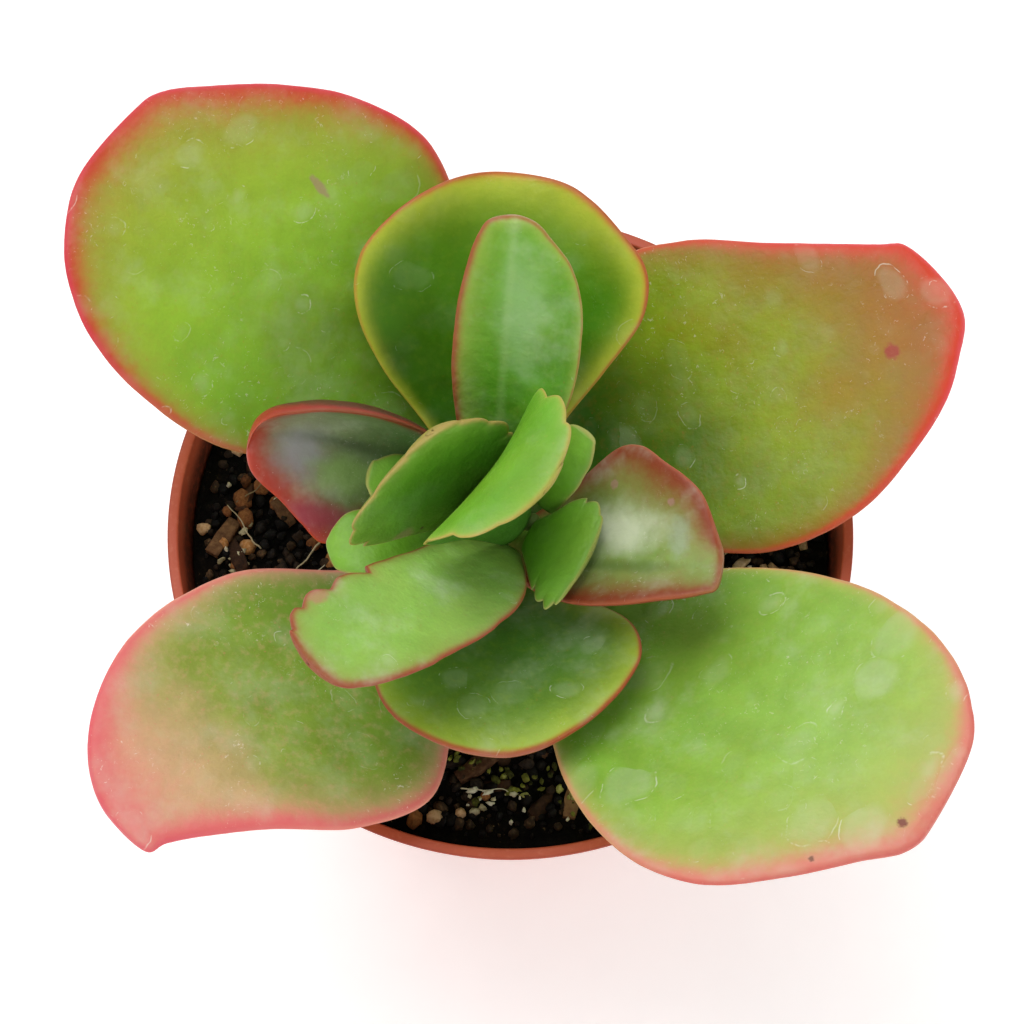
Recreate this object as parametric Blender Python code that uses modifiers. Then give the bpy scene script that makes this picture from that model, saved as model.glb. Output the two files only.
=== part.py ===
"""Potted paddle-leaf kalanchoe: a nursery pot filled with peat, one stem and its leaves.

The origin is the middle of the pot's underside, +Z is up and -Y is the front.
Sizes are written in millimetres and degrees and turned to metres where meshes are made.
"""

import math
import random
from dataclasses import dataclass

import bmesh
import bpy
from mathutils import Vector

MM = 0.001
GAP = 0.3

# Pot: a round nursery pot with a flat lip and a low band under it
POT_HEIGHT = 84.0
POT_RIM_RADIUS = 52.5
POT_BASE_RADIUS = 32.5
POT_LIP_WIDTH = 1.7
POT_BAND_HEIGHT = 8.0
POT_BAND_DRAFT = 1.8
POT_BAND_STEP = 0.6
POT_WALL = 0.9
POT_FLOOR = 2.0
POT_EDGE_ROUND = 0.35
POT_SEGMENTS = 72
DRAIN_HOLES = 6
DRAIN_HOLE_RADIUS = 4.0
DRAIN_HOLE_RING = 21.0

# Stem: slightly leaning, planted in a hole in the peat
STEM_FOOT = Vector((-1.0, -3.0, 66.0))
STEM_TOP = Vector((-2.8, -7.1, 108.0))
STEM_FOOT_RADIUS = 5.0
STEM_TOP_RADIUS = 2.3
STEM_SIDES = 16
STEM_LEVELS = 20
STEM_TIP_HEIGHT = 0.6
STEM_NODE_SWELL = 0.35
STEM_NODE_REACH = 2.2
TWIG_RADIUS = 1.2
TWIG_SIDES = 10
SLIVER = 0.12
TWIGS = (
    ((-2.6, -6.6, 103.4), (4.1, -8.3, 106.8)),
    ((-2.8, -6.7, 103.8), (-10.0, -7.4, 105.9)),
)

# Peat: a plug with a crumbly top
SOIL_LEVEL = 75.8
SOIL_EDGE_LEVEL = 77.2
SOIL_BUMP = 0.9
SOIL_LUMP = 3.4
SOIL_RINGS = 15
SOIL_SECTORS = 56
SOIL_SEED = 7

# Leaf mesh: stations along the blade and shares of the half-width across it
LEAF_STATIONS = 18
TOOTHED_STATIONS = 26
BUD_STATIONS = 8
BLADE_SHARES = (0.0, 0.5, 0.84, 1.0)
SMALL_SHARES = (0.0, 0.62, 1.0)


@dataclass
class Leaf:
    """One blade, measured along its midrib from where it leaves the stem.

    rise is the midrib's angle above level at the foot, the middle and the tip.
    left and right are half-widths at even stations, closer together near the tip.
    cup is how far each half curls up, and roll tips the blade about its midrib.
    teeth are (side, first station share, last station share, count, depth).
    """

    name: str
    heading: float
    length: float
    rise: tuple
    left: tuple
    right: tuple
    node: float = 0.0
    foot: tuple = ()
    swerve: float = 0.0
    roll: tuple = (0.0, 0.0)
    cup_left: tuple = (14.0, 14.0)
    cup_right: tuple = (14.0, 14.0)
    thick: tuple = (3.6, 1.8)
    teeth: tuple = ()
    colour: str = "7fae3c"


OUTER_THICK = (4.2, 2.2)
ROUND_THICK = (3.8, 1.8)
INNER_THICK = (3.4, 1.3)
HEART_THICK = (2.6, 0.9)
SPROUT_THICK = (2.1, 0.8)
BUD_THICK = (1.6, 1.0)

LEAVES = (
    Leaf("leaf_back_right", heading=21, swerve=14, length=75, rise=(22, 22, 12), node=79,
         left=(5, 20, 32, 29, 21.5, 15.5, 11, 8, 0), right=(5, 10.5, 20, 22, 19, 15, 10, 6, 0),
         thick=OUTER_THICK, colour="8f9a3a"),
    Leaf("leaf_front_left", heading=221, swerve=-4, length=70, rise=(20, 20, 10), node=79,
         left=(5, 14, 25, 23, 16, 11.5, 9, 8, 0), right=(5, 12, 20, 21.5, 20, 16, 11, 5.5, 0),
         thick=OUTER_THICK, colour="c08a6a"),
    Leaf("leaf_back_left", heading=128, swerve=10, length=81, rise=(32, 30, 18), node=85,
         left=(5, 13, 26, 30.5, 30.5, 27, 21, 13.5, 0), right=(5, 12, 23, 28, 24, 16.5, 9, 4, 0),
         thick=OUTER_THICK, colour="8aae3e"),
    Leaf("leaf_front_right", heading=313, swerve=10, length=80, rise=(24, 27, 17), node=85,
         left=(5, 13, 22, 26, 26, 23.5, 19, 13, 0), right=(5, 13, 22.5, 26, 23.5, 15.5, 8, 4, 0),
         thick=OUTER_THICK, colour="86b548"),
    Leaf("leaf_back_round", heading=90, swerve=-5, length=50.5, rise=(34, 32, 26), node=92,
         cup_left=(30, 30), cup_right=(30, 30),
         left=(4, 10, 18, 22, 21.5, 17, 11.5, 6, 0), right=(4, 9, 16.5, 22, 22, 17.5, 13, 8, 0),
         thick=ROUND_THICK, colour="74a834"),
    Leaf("leaf_front_round", heading=272, length=36, rise=(34, 24, 10), node=93,
         cup_left=(22, 22), cup_right=(22, 22),
         left=(4, 10, 18.5, 20.5, 18, 14, 9.5, 5, 0), right=(4, 9, 15, 18.5, 18, 15.5, 11, 6, 0),
         thick=ROUND_THICK, colour="5f9636"),
    Leaf("leaf_left_folded", heading=160, swerve=24, length=37, rise=(56, 28, 10), node=97,
         roll=(-20, -35, -35), cup_left=(20, 20), cup_right=(50, 85, 95),
         left=(3.5, 5, 8, 12, 9.5, 6.5, 4.5, 2.5, 0), right=(3.5, 7, 13.5, 16, 15.5, 13.5, 11.5, 7.5, 0),
         thick=INNER_THICK, colour="7d8a58"),
    Leaf("leaf_right_folded", heading=327, swerve=34, length=35, rise=(36, 32, 18), node=99,
         cup_left=(30, 30), cup_right=(40, 45),
         left=(4, 11, 16, 16.5, 14, 11.5, 8.5, 3, 0), right=(4, 8, 9.5, 9, 8, 7.5, 7, 6, 0),
         thick=INNER_THICK, colour="9fb070"),
    Leaf("leaf_back_tongue", heading=84, length=43, rise=(52, 48, 44), node=105,
         cup_left=(24, 24), cup_right=(24, 24),
         left=(4, 6, 7.5, 7.5, 7, 6, 5, 3.5, 0), right=(4, 8, 10.5, 11, 10.5, 8.5, 5.5, 3, 0),
         thick=INNER_THICK, colour="82b045"),
    Leaf("leaf_front_tongue", heading=240, swerve=-20, length=43, rise=(50, 36, 22), node=105,
         cup_left=(20, 20), cup_right=(20, 20),
         left=(7, 12, 12.5, 11.5, 10.5, 9, 7.5, 5, 0), right=(3, 4, 5.5, 7, 8, 8, 7, 5, 0),
         thick=INNER_THICK, teeth=((-1, 0.35, 1.0, 4, 1.2),), colour="8fbc58"),
    Leaf("leaf_heart_left", heading=124, length=20.5, rise=(86, 77, 60), foot=(-7.7, -6.6, 108.2),
         cup_left=(16, 16), cup_right=(16, 16),
         left=(5, 10, 15, 18, 17, 13, 8, 4, 0), right=(4, 7, 9.5, 10.5, 10, 8, 5.5, 3, 0),
         thick=HEART_THICK, teeth=((1, 0.3, 0.95, 4, 1.1), (-1, 0.4, 1.0, 3, 0.7)), colour="7cb03a"),
    Leaf("leaf_heart_right", heading=326, length=31, rise=(110, 88, 10), foot=(0.8, -9.6, 108.2),
         cup_left=(22, 22), cup_right=(22, 22),
         left=(5, 8.5, 12, 13, 12.5, 11, 8.5, 4.5, 0), right=(3.5, 7.5, 12.5, 15, 15, 13.5, 10.5, 5.5, 0),
         thick=HEART_THICK, teeth=((1, 0.3, 0.9, 3, 1.2), (-1, 0.35, 0.95, 3, 1.1)), colour="88ba40"),
    Leaf("sprout_right_front", heading=335, length=11, rise=(42, 30, 18), foot=(2.9, -11.2, 107.9),
         left=(3, 4.5, 6.5, 7.5, 7.5, 7, 6, 4, 0), right=(2.5, 5, 7.5, 9.5, 10.5, 10.5, 9, 5.5, 0),
         thick=SPROUT_THICK, teeth=((-1, 0.3, 1.0, 4, 1.0), (1, 0.4, 1.0, 2, 0.8)), colour="6fa836"),
    Leaf("sprout_right_back", heading=48, length=15, rise=(60, 56, 48), foot=(5.2, -5.9, 107.6),
         left=(2, 3, 4, 5, 5, 4, 3, 2, 0), right=(2, 2.5, 3, 3, 3, 2.5, 2, 1.5, 0),
         thick=SPROUT_THICK, colour="84b444"),
    Leaf("sprout_left_back", heading=166, length=13.3, rise=(56, 44, 30), foot=(-10.9, -5.9, 106.6),
         left=(2, 3, 4, 4.5, 4.5, 4, 3, 2, 0), right=(2, 3, 4, 4.5, 4, 3, 2, 1.5, 0),
         thick=SPROUT_THICK, colour="6a9a3c"),
    Leaf("sprout_left_front", heading=200, length=17, rise=(38, 22, -20), foot=(-11.1, -9.3, 105.4),
         left=(2, 3, 4, 5, 5, 4, 3, 2, 0), right=(2, 3, 4, 5, 5, 4, 3, 2, 0),
         thick=SPROUT_THICK, colour="8ab55c"),
    Leaf("bud_back", heading=128, length=8, rise=(88, 86, 80), foot=(-3.3, -6.65, 108.4),
         left=(1, 1.3, 1.6, 1.8, 1.8, 1.6, 1.3, 0.9, 0), right=(1, 1.3, 1.6, 1.8, 1.8, 1.6, 1.3, 0.9, 0),
         thick=BUD_THICK, colour="5a2a20"),
    Leaf("bud_front", heading=304, length=5, rise=(92, 92, 88), foot=(-4.4, -9.3, 108.2),
         left=(1, 1.3, 1.6, 1.8, 1.8, 1.6, 1.3, 0.9, 0), right=(1, 1.3, 1.6, 1.8, 1.8, 1.6, 1.3, 0.9, 0),
         thick=BUD_THICK, colour="5a2a20"),
)


def hex_to_linear(code):
    """A scene-linear RGBA colour from an sRGB hex code."""
    channels = [int(code[i:i + 2], 16) / 255 for i in (0, 2, 4)]
    linear = [c / 12.92 if c <= 0.04045 else ((c + 0.055) / 1.055) ** 2.4 for c in channels]
    return (*linear, 1.0)


def principled(name, code, roughness):
    """A plain non-metal Principled material."""
    material = bpy.data.materials.new(name)
    material.use_nodes = True
    shader = material.node_tree.nodes["Principled BSDF"]
    shader.inputs["Base Color"].default_value = hex_to_linear(code)
    shader.inputs["Roughness"].default_value = roughness
    shader.inputs["Metallic"].default_value = 0.0
    return material


def clear_scene():
    """Empties the scene of objects and of the collections they sat in."""
    for thing in list(bpy.data.objects):
        bpy.data.objects.remove(thing, do_unlink=True)
    for group in list(bpy.data.collections):
        bpy.data.collections.remove(group)


def new_collection(name):
    group = bpy.data.collections.new(name)
    bpy.context.scene.collection.children.link(group)
    return group


def new_object(name, mesh, group, material):
    """Links a mesh to the scene as a smooth-shaded object."""
    thing = bpy.data.objects.new(name, mesh)
    group.objects.link(thing)
    mesh.materials.append(material)
    mesh.shade_smooth()
    return thing


def helper_object(name, mesh, cutters):
    """A shape that a Boolean uses; it isn't rendered itself."""
    thing = bpy.data.objects.new(name, mesh)
    cutters.objects.link(thing)
    thing.hide_render = True
    thing.display_type = "WIRE"
    return thing


def mesh_from_rings(name, rings, foot_cap, end_point):
    """Lofts closed rings of points; the foot is a flat cap and the end meets in one point."""
    shape = bmesh.new()
    loops = [[shape.verts.new(point * MM) for point in ring] for ring in rings]
    count = len(rings[0])
    half = count // 2
    for lower, upper in zip(loops, loops[1:]):
        for j in range(count):
            k = (j + 1) % count
            if j < half:
                shape.faces.new((lower[j], upper[j], upper[k]))
                shape.faces.new((lower[j], upper[k], lower[k]))
            else:
                shape.faces.new((lower[j], upper[j], lower[k]))
                shape.faces.new((upper[j], upper[k], lower[k]))
    tip = shape.verts.new(end_point * MM)
    for j in range(count):
        shape.faces.new((loops[-1][(j + 1) % count], loops[-1][j], tip))
    foot = shape.verts.new(foot_cap * MM)
    for j in range(count):
        shape.faces.new((loops[0][j], loops[0][(j + 1) % count], foot))
    bmesh.ops.recalc_face_normals(shape, faces=shape.faces)
    mesh = bpy.data.meshes.new(name)
    shape.to_mesh(mesh)
    shape.free()
    return mesh


def smooth_value(values, share):
    """A smooth curve through evenly spaced values, read at a share from 0 to 1."""
    last = len(values) - 1
    place = min(max(share, 0.0), 1.0) * last
    i = min(int(place), last - 1)
    f = place - i
    b, c = values[i], values[i + 1]
    a = values[i - 1] if i > 0 else 2 * b - c
    d = values[i + 2] if i + 2 <= last else 2 * c - b
    return b + 0.5 * f * (c - a + f * (2 * a - 5 * b + 4 * c - d + f * (3 * (b - c) + d - a)))


def stem_share(height):
    return (height - STEM_FOOT.z) / (STEM_TOP.z - STEM_FOOT.z)


def stem_point(height):
    """The stem's middle at a height."""
    return STEM_FOOT.lerp(STEM_TOP, stem_share(height))


def stem_radius(height):
    return STEM_FOOT_RADIUS + stem_share(height) * (STEM_TOP_RADIUS - STEM_FOOT_RADIUS)


def leaf_foot(leaf):
    """Where the midrib starts: given, or just clear of the stem at the leaf's node."""
    if leaf.foot:
        return Vector(leaf.foot)
    heading = math.radians(leaf.heading)
    outward = Vector((math.cos(heading), math.sin(heading), 0))
    tilt = leaf.thick[0] / 2 * math.sin(math.radians(leaf.rise[0]))
    return stem_point(leaf.node) + outward * (stem_radius(leaf.node) + GAP + 0.05 + tilt)


def midrib(leaf, stations):
    """Points along the midrib, each with its left and up directions."""
    point = leaf_foot(leaf)
    row = []
    share_before = 0.0
    forward_before = None
    for k in range(stations + 1):
        t = k / stations
        share = t * (2 - t)
        pitch = math.radians(smooth_value(leaf.rise, share))
        heading = math.radians(leaf.heading + leaf.swerve * share)
        forward = Vector((math.cos(pitch) * math.cos(heading), math.cos(pitch) * math.sin(heading),
                          math.sin(pitch)))
        if forward_before is not None:
            point = point + (forward + forward_before) / 2 * leaf.length * (share - share_before)
        left = Vector((-math.sin(heading), math.cos(heading), 0))
        up = forward.cross(left)
        roll = math.radians(smooth_value(leaf.roll, share))
        turned_left = left * math.cos(roll) + up * math.sin(roll)
        turned_up = up * math.cos(roll) - left * math.sin(roll)
        row.append((t, share, point, turned_left, turned_up))
        share_before, forward_before = share, forward
    return row


def toothed_width(leaf, side, t, width):
    """A half-width with its rounded teeth cut in."""
    for tooth_side, first, last, count, depth in leaf.teeth:
        if tooth_side == side and first <= t <= last:
            lobe = abs(math.sin(math.pi * count * (t - first) / (last - first)))
            width -= depth * (1 - lobe)
    return max(width, 0.4)


def leaf_ring(leaf, station, stations, shares):
    """The blade's closed outline across one station, over the top and back underneath."""
    t, share, point, left, up = station
    middle, edge = leaf.thick
    slim = 1.0 if t < 0.5 else 1 - 0.55 * (2 * t - 1) ** 2
    slim *= min(1.0, (1 - t) * stations / 2.5) ** 0.5
    across = [-q for q in reversed(shares[1:])] + list(shares)
    top, bottom = [], []
    for q in across:
        side = 1 if q >= 0 else -1
        widths = leaf.left if side > 0 else leaf.right
        cups = leaf.cup_left if side > 0 else leaf.cup_right
        width = toothed_width(leaf, side, t, smooth_value(widths, t))
        curl = math.radians(smooth_value(cups, share))
        out = width * math.sin(abs(q) * curl) / curl
        lift = width * (1 - math.cos(q * curl)) / curl
        normal = up * math.cos(q * curl) - left * math.sin(q * curl)
        half = edge / 2 * math.sqrt(1 - abs(q) ** 8) + (middle - edge) / 2 * (1 - q * q)
        centre = point + left * (side * out) + up * lift
        top.append(centre + normal * half * slim)
        bottom.append(centre - normal * half * slim)
    return top + bottom[-2:0:-1]


def build_leaf(leaf, group):
    """One blade as a closed loft."""
    stations = TOOTHED_STATIONS if leaf.teeth else LEAF_STATIONS
    if leaf.thick == BUD_THICK:
        stations = BUD_STATIONS
    shares = SMALL_SHARES if leaf.thick in (SPROUT_THICK, BUD_THICK) else BLADE_SHARES
    row = midrib(leaf, stations)
    rings = [leaf_ring(leaf, station, stations, shares) for station in row[:-1]]
    mesh = mesh_from_rings(leaf.name, rings, row[0][2], row[-1][2])
    material = principled(leaf.name + "_skin", leaf.colour, 0.42)
    return new_object(leaf.name, mesh, group, material)


def build_stem(group, cutters):
    """The stem, a tapering round rod, a little thicker at each leaf node."""
    heights = {leaf.node for leaf in LEAVES if leaf.node}
    rings = []
    for k in range(STEM_LEVELS + 1):
        z = STEM_FOOT.z + k / STEM_LEVELS * (STEM_TOP.z - STEM_TIP_HEIGHT - STEM_FOOT.z)
        centre = stem_point(z)
        away = min(abs(z - height) for height in heights) / STEM_NODE_REACH
        radius = stem_radius(z) - STEM_NODE_SWELL * min(away, 1.0)
        ring = []
        for j in range(STEM_SIDES):
            turn = 2 * math.pi * j / STEM_SIDES
            ring.append(centre + Vector((math.cos(turn), math.sin(turn), 0)) * radius)
        rings.append(ring)
    mesh = mesh_from_rings("stem", rings, STEM_FOOT, STEM_TOP)
    stem = new_object("stem", mesh, group, principled("green_stem", "6f8f45", 0.55))
    for number, (start, end) in enumerate(TWIGS, 1):
        twig = build_twig(f"twig_{number}", Vector(start), Vector(end), cutters)
        fuse = stem.modifiers.new(twig.name, "BOOLEAN")
        fuse.operation = "UNION"
        fuse.solver = "EXACT"
        fuse.object = twig
    weld = stem.modifiers.new("weld", "WELD")
    weld.merge_threshold = SLIVER * MM
    stem.modifiers.new("triangles", "TRIANGULATE")
    return stem


def build_twig(name, start, end, cutters):
    """A short side twig, to be fused to the stem, which carries the shoots beside its top."""
    along = (end - start).normalized()
    side = along.cross(Vector((0, 0, 1))).normalized()
    up = side.cross(along)
    rings = []
    for share, radius in ((0.0, TWIG_RADIUS), (0.9, TWIG_RADIUS * 1.1), (0.98, TWIG_RADIUS * 0.7)):
        centre = start.lerp(end, share)
        turns = [2 * math.pi * j / TWIG_SIDES for j in range(TWIG_SIDES)]
        rings.append([centre + (side * math.cos(a) + up * math.sin(a)) * radius for a in turns])
    mesh = mesh_from_rings(name, rings, start, end)
    return helper_object(name, mesh, cutters)


def pot_profile():
    """Half-section of the pot, from the middle of its floor over the lip to the underside."""
    rim, height, band = POT_RIM_RADIUS, POT_HEIGHT, POT_HEIGHT - POT_BAND_HEIGHT
    band_foot = rim - POT_BAND_DRAFT
    wall_top = band_foot - POT_BAND_STEP
    lip = rim - POT_LIP_WIDTH
    edge = POT_EDGE_ROUND
    return (
        (0.0, POT_FLOOR),
        (POT_BASE_RADIUS - POT_WALL, POT_FLOOR),
        (wall_top - POT_WALL, band - 1.0),
        (lip, height - edge),
        (lip + edge, height),
        (rim - edge, height),
        (rim, height - edge),
        (band_foot, band + edge),
        (band_foot - edge, band),
        (wall_top, band),
        (POT_BASE_RADIUS, edge),
        (POT_BASE_RADIUS - edge, 0.0),
        (0.0, 0.0),
    )


def soil_wall_radius(height):
    """The peat's radius at a height, just clear of the pot's inner wall."""
    band = POT_HEIGHT - POT_BAND_HEIGHT - 1.0
    middle = POT_RIM_RADIUS - POT_BAND_DRAFT - POT_BAND_STEP - POT_WALL
    if height > band:
        low, high, bottom, top = band, POT_HEIGHT, middle, POT_RIM_RADIUS - POT_LIP_WIDTH
    else:
        low, high, bottom, top = POT_FLOOR, band, POT_BASE_RADIUS - POT_WALL, middle
    return bottom + (height - low) / (high - low) * (top - bottom) - GAP - 0.1


def turned_mesh(name, profile, segments):
    """A turned solid: a flat profile swept by Screw, applied and welded on the axis."""
    outline = bpy.data.meshes.new(name + "_profile")
    outline.from_pydata([(x * MM, 0, z * MM) for x, z in profile],
                        [(i, i + 1) for i in range(len(profile) - 1)], [])
    thing = bpy.data.objects.new(name + "_profile", outline)
    bpy.context.scene.collection.objects.link(thing)
    screw = thing.modifiers.new("turn", "SCREW")
    screw.steps = segments
    screw.render_steps = segments
    screw.use_merge_vertices = True
    screw.merge_threshold = 0.00001
    graph = bpy.context.evaluated_depsgraph_get()
    mesh = bpy.data.meshes.new_from_object(thing.evaluated_get(graph))
    mesh.name = name
    bpy.data.objects.remove(thing, do_unlink=True)
    return mesh


def build_pot(group, cutters):
    """The pot, with drain holes round the middle of its floor, which stays whole."""
    material = principled("terracotta_plastic", "d2694a", 0.5)
    pot = new_object("pot", turned_mesh("pot", pot_profile(), POT_SEGMENTS), group, material)
    shape = bmesh.new()
    for k in range(DRAIN_HOLES):
        turn = 2 * math.pi * k / DRAIN_HOLES
        made = bmesh.ops.create_cone(shape, cap_ends=True, segments=20, radius1=DRAIN_HOLE_RADIUS * MM,
                                     radius2=DRAIN_HOLE_RADIUS * MM, depth=4 * POT_FLOOR * MM)
        shift = Vector((math.cos(turn), math.sin(turn), 0)) * DRAIN_HOLE_RING * MM
        bmesh.ops.translate(shape, verts=made["verts"], vec=shift)
    mesh = bpy.data.meshes.new("drain_holes")
    shape.to_mesh(mesh)
    shape.free()
    cutter = helper_object("drain_holes", mesh, cutters)
    cut = pot.modifiers.new("drain", "BOOLEAN")
    cut.operation = "DIFFERENCE"
    cut.solver = "EXACT"
    cut.object = cutter
    pot.data.set_sharp_from_angle(angle=math.radians(30))
    return pot


def soil_lumps():
    """Seeded lumps on the peat: each a place, a height and a width."""
    draw = random.Random(SOIL_SEED)
    lumps = []
    reach = soil_wall_radius(SOIL_LEVEL)
    for _ in range(260):
        radius = reach * math.sqrt(draw.random())
        turn = draw.uniform(0, 2 * math.pi)
        lumps.append((radius * math.cos(turn), radius * math.sin(turn),
                      draw.uniform(-0.5, 1.0) * SOIL_BUMP, draw.uniform(0.6, 1.2) * SOIL_LUMP))
    return lumps


def build_soil(group):
    """The peat plug, a plain hole for the stem and a lumpy top, down to the pot's floor."""
    lumps = soil_lumps()
    hole_floor = STEM_FOOT.z - GAP - 0.1
    hole_low = stem_point(STEM_FOOT.z)
    hole_high = stem_point(SOIL_LEVEL)
    rim_radius = soil_wall_radius(SOIL_EDGE_LEVEL)
    turns = [2 * math.pi * j / SOIL_SECTORS for j in range(SOIL_SECTORS)]

    def circle(centre, radius, z):
        return [Vector((centre.x + radius * math.cos(a), centre.y + radius * math.sin(a), z)) for a in turns]

    hole_radius = stem_radius(STEM_FOOT.z) + GAP + 0.1
    rings = [circle(hole_low, hole_radius, hole_floor), circle(hole_high, hole_radius, SOIL_LEVEL)]
    middle = Vector((0, 0, 0))
    for k in range(1, SOIL_RINGS + 1):
        share = k / SOIL_RINGS
        level = SOIL_LEVEL + share * share * (SOIL_EDGE_LEVEL - SOIL_LEVEL)
        ring = circle(hole_high.lerp(middle, share), hole_radius + share * (rim_radius - hole_radius), level)
        if k < SOIL_RINGS:
            for point in ring:
                for x, y, height, width in lumps:
                    away = math.hypot(point.x - x, point.y - y) / width
                    if away < 1:
                        point.z += height * (1 - away * away) ** 2
        rings.append(ring)
    foot = POT_FLOOR + GAP + 0.1
    for z in (POT_HEIGHT - POT_BAND_HEIGHT - 1.0, foot):
        rings.append(circle(middle, soil_wall_radius(z), z))
    mesh = mesh_from_rings("soil", rings, Vector((hole_low.x, hole_low.y, hole_floor)), Vector((0, 0, foot)))
    return new_object("soil", mesh, group, principled("peat", "2b211a", 0.95))


def main():
    clear_scene()
    group = new_collection("potted_kalanchoe")
    cutters = new_collection("cutters")
    build_pot(group, cutters)
    build_soil(group)
    build_stem(group, cutters)
    for leaf in LEAVES:
        build_leaf(leaf, group)


main()
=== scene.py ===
"""Looks of a potted paddle-leaf kalanchoe, laid out as a Blender add-on.

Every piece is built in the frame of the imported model: metres, +Z up, -Y towards the front.
Sizes in the tables are millimetres and degrees, and MM turns them to metres.
"""

import math
import random
from dataclasses import dataclass

import bmesh
import bpy
import numpy as np
from bpy.props import FloatProperty, FloatVectorProperty, IntProperty, PointerProperty
from mathutils import Matrix, Vector, noise


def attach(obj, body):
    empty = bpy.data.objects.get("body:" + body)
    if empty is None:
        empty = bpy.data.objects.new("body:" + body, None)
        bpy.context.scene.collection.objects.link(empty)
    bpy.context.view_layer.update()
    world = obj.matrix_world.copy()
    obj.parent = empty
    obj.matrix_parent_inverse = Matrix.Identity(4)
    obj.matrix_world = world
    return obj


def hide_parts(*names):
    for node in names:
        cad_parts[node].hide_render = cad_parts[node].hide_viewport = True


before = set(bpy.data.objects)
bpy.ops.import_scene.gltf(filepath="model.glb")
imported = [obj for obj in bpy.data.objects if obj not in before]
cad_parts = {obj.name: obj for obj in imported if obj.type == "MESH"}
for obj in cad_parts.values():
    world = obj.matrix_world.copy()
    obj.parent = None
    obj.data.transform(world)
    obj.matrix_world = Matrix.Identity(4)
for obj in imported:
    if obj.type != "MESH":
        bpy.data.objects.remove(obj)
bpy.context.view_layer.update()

bl_info = {
    "name": "Potted Kalanchoe",
    "version": (1, 0, 0),
    "blender": (4, 5, 0),
    "location": "View3D > Sidebar > Kalanchoe",
    "description": "Builds the leaves, stem, peat and pot of a potted kalanchoe",
    "category": "Add Mesh",
}

MM = 0.001

# Pot and peat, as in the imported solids
POT_HEIGHT = 84.0
POT_RIM_RADIUS = 52.5
POT_BASE_RADIUS = 32.5
POT_LIP_WIDTH = 1.7
POT_BAND_HEIGHT = 8.0
POT_BAND_DRAFT = 1.8
POT_BAND_STEP = 0.6
POT_WALL = 0.9
POT_FLOOR = 2.0
POT_EDGE_ROUND = 0.35
DRAIN_HOLES = 6
DRAIN_HOLE_RADIUS = 4.0
DRAIN_HOLE_RING = 21.0
DRAIN_HOLE_SIDES = 40
SOIL_LEVEL = 75.8
SOIL_EDGE_LEVEL = 77.2
SOIL_BUMP = 0.9
SOIL_LUMP = 3.4
SOIL_SEED = 7
GAP = 0.4

# Stem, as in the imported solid
STEM_FOOT = np.array((-1.0, -3.0, 66.0))
STEM_TOP = np.array((-2.8, -7.1, 108.0))
STEM_FOOT_RADIUS = 5.0
STEM_TOP_RADIUS = 2.3
STEM_NODE_SWELL = 0.35
STEM_NODE_REACH = 2.2
TWIG_RADIUS = 1.2
TWIGS = (
    ((-2.6, -6.6, 103.4), (4.1, -8.3, 106.8)),
    ((-2.8, -6.7, 103.8), (-10.0, -7.4, 105.9)),
)

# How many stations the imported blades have: their tips are rounded over a few of them
PLAIN_STATIONS = 18
TOOTHED_STATIONS = 26
BUD_STATIONS = 8

OUTER_THICK = (4.2, 2.2)
ROUND_THICK = (3.8, 1.8)
INNER_THICK = (3.4, 1.3)
HEART_THICK = (2.6, 0.9)
SPROUT_THICK = (2.1, 0.8)
BUD_THICK = (1.6, 1.0)


@dataclass
class Mark:
    """One mark on a blade: its place along and across the blade, size and colour."""

    along: float
    across: float
    width: float
    height: float
    colour: str
    strength: float = 0.8
    softness: float = 0.7


@dataclass
class Look:
    """Colours of one blade's skin, its margin band and its water marks.

    band holds the band's widths at even places round the blade, from the left of the
    foot over the tip to the right of the foot; glow is the paler band inside it.
    """

    # foot is the colour at the blade's base, darkened as painted shade where the leaves above shade the base
    foot: str
    middle: str
    tip: str
    band: tuple
    blush: str = "c9463a"
    glow: str = "b9b84a"
    rim: str = "a8503a"
    under: str = "7f9a4c"
    glow_reach: float = 2.0
    rim_width: float = 0.5
    rim_depth: float = 0.85
    dents: float = 0.3
    rings: float = 0.35
    ring_size: float = 8.0
    film: float = 0.12
    shaded_foot_reach: float = 0.05
    middle_place: float = 0.45
    bloom: float = 0.15
    flecks: float = 0.15
    freckles: float = 0.15
    midrib: float = 0.0
    gloss: float = 0.25
    marks: tuple = ()


@dataclass
class Leaf:
    """One blade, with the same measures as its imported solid, and its look."""

    name: str
    look: Look
    heading: float
    length: float
    rise: tuple
    left: tuple
    right: tuple
    node: float = 0.0
    foot: tuple = ()
    swerve: float = 0.0
    roll: tuple = (0.0, 0.0)
    cup_left: tuple = (14.0, 14.0)
    cup_right: tuple = (14.0, 14.0)
    thick: tuple = (3.6, 1.8)
    teeth: tuple = ()
    crinkle: float = 0.15


SPROUT_LOOK = Look("5e9430", "74ac3e", "8cbc4c", band=(0.2,) * 9, blush="9aa04c", glow="74a038",
                   rim="b4b070", under="56802c", rim_width=0.15, rim_depth=0.6, dents=0.5, rings=0.0,
                   bloom=0.08, flecks=0.03)
BUD_LOOK = Look("40301a", "52281c", "642a20", band=(0.6,) * 9, blush="6e2e24", glow="5a3420",
                rim="8a4a3a", under="42261a", rings=0.0, bloom=0.0, flecks=0.0)

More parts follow.
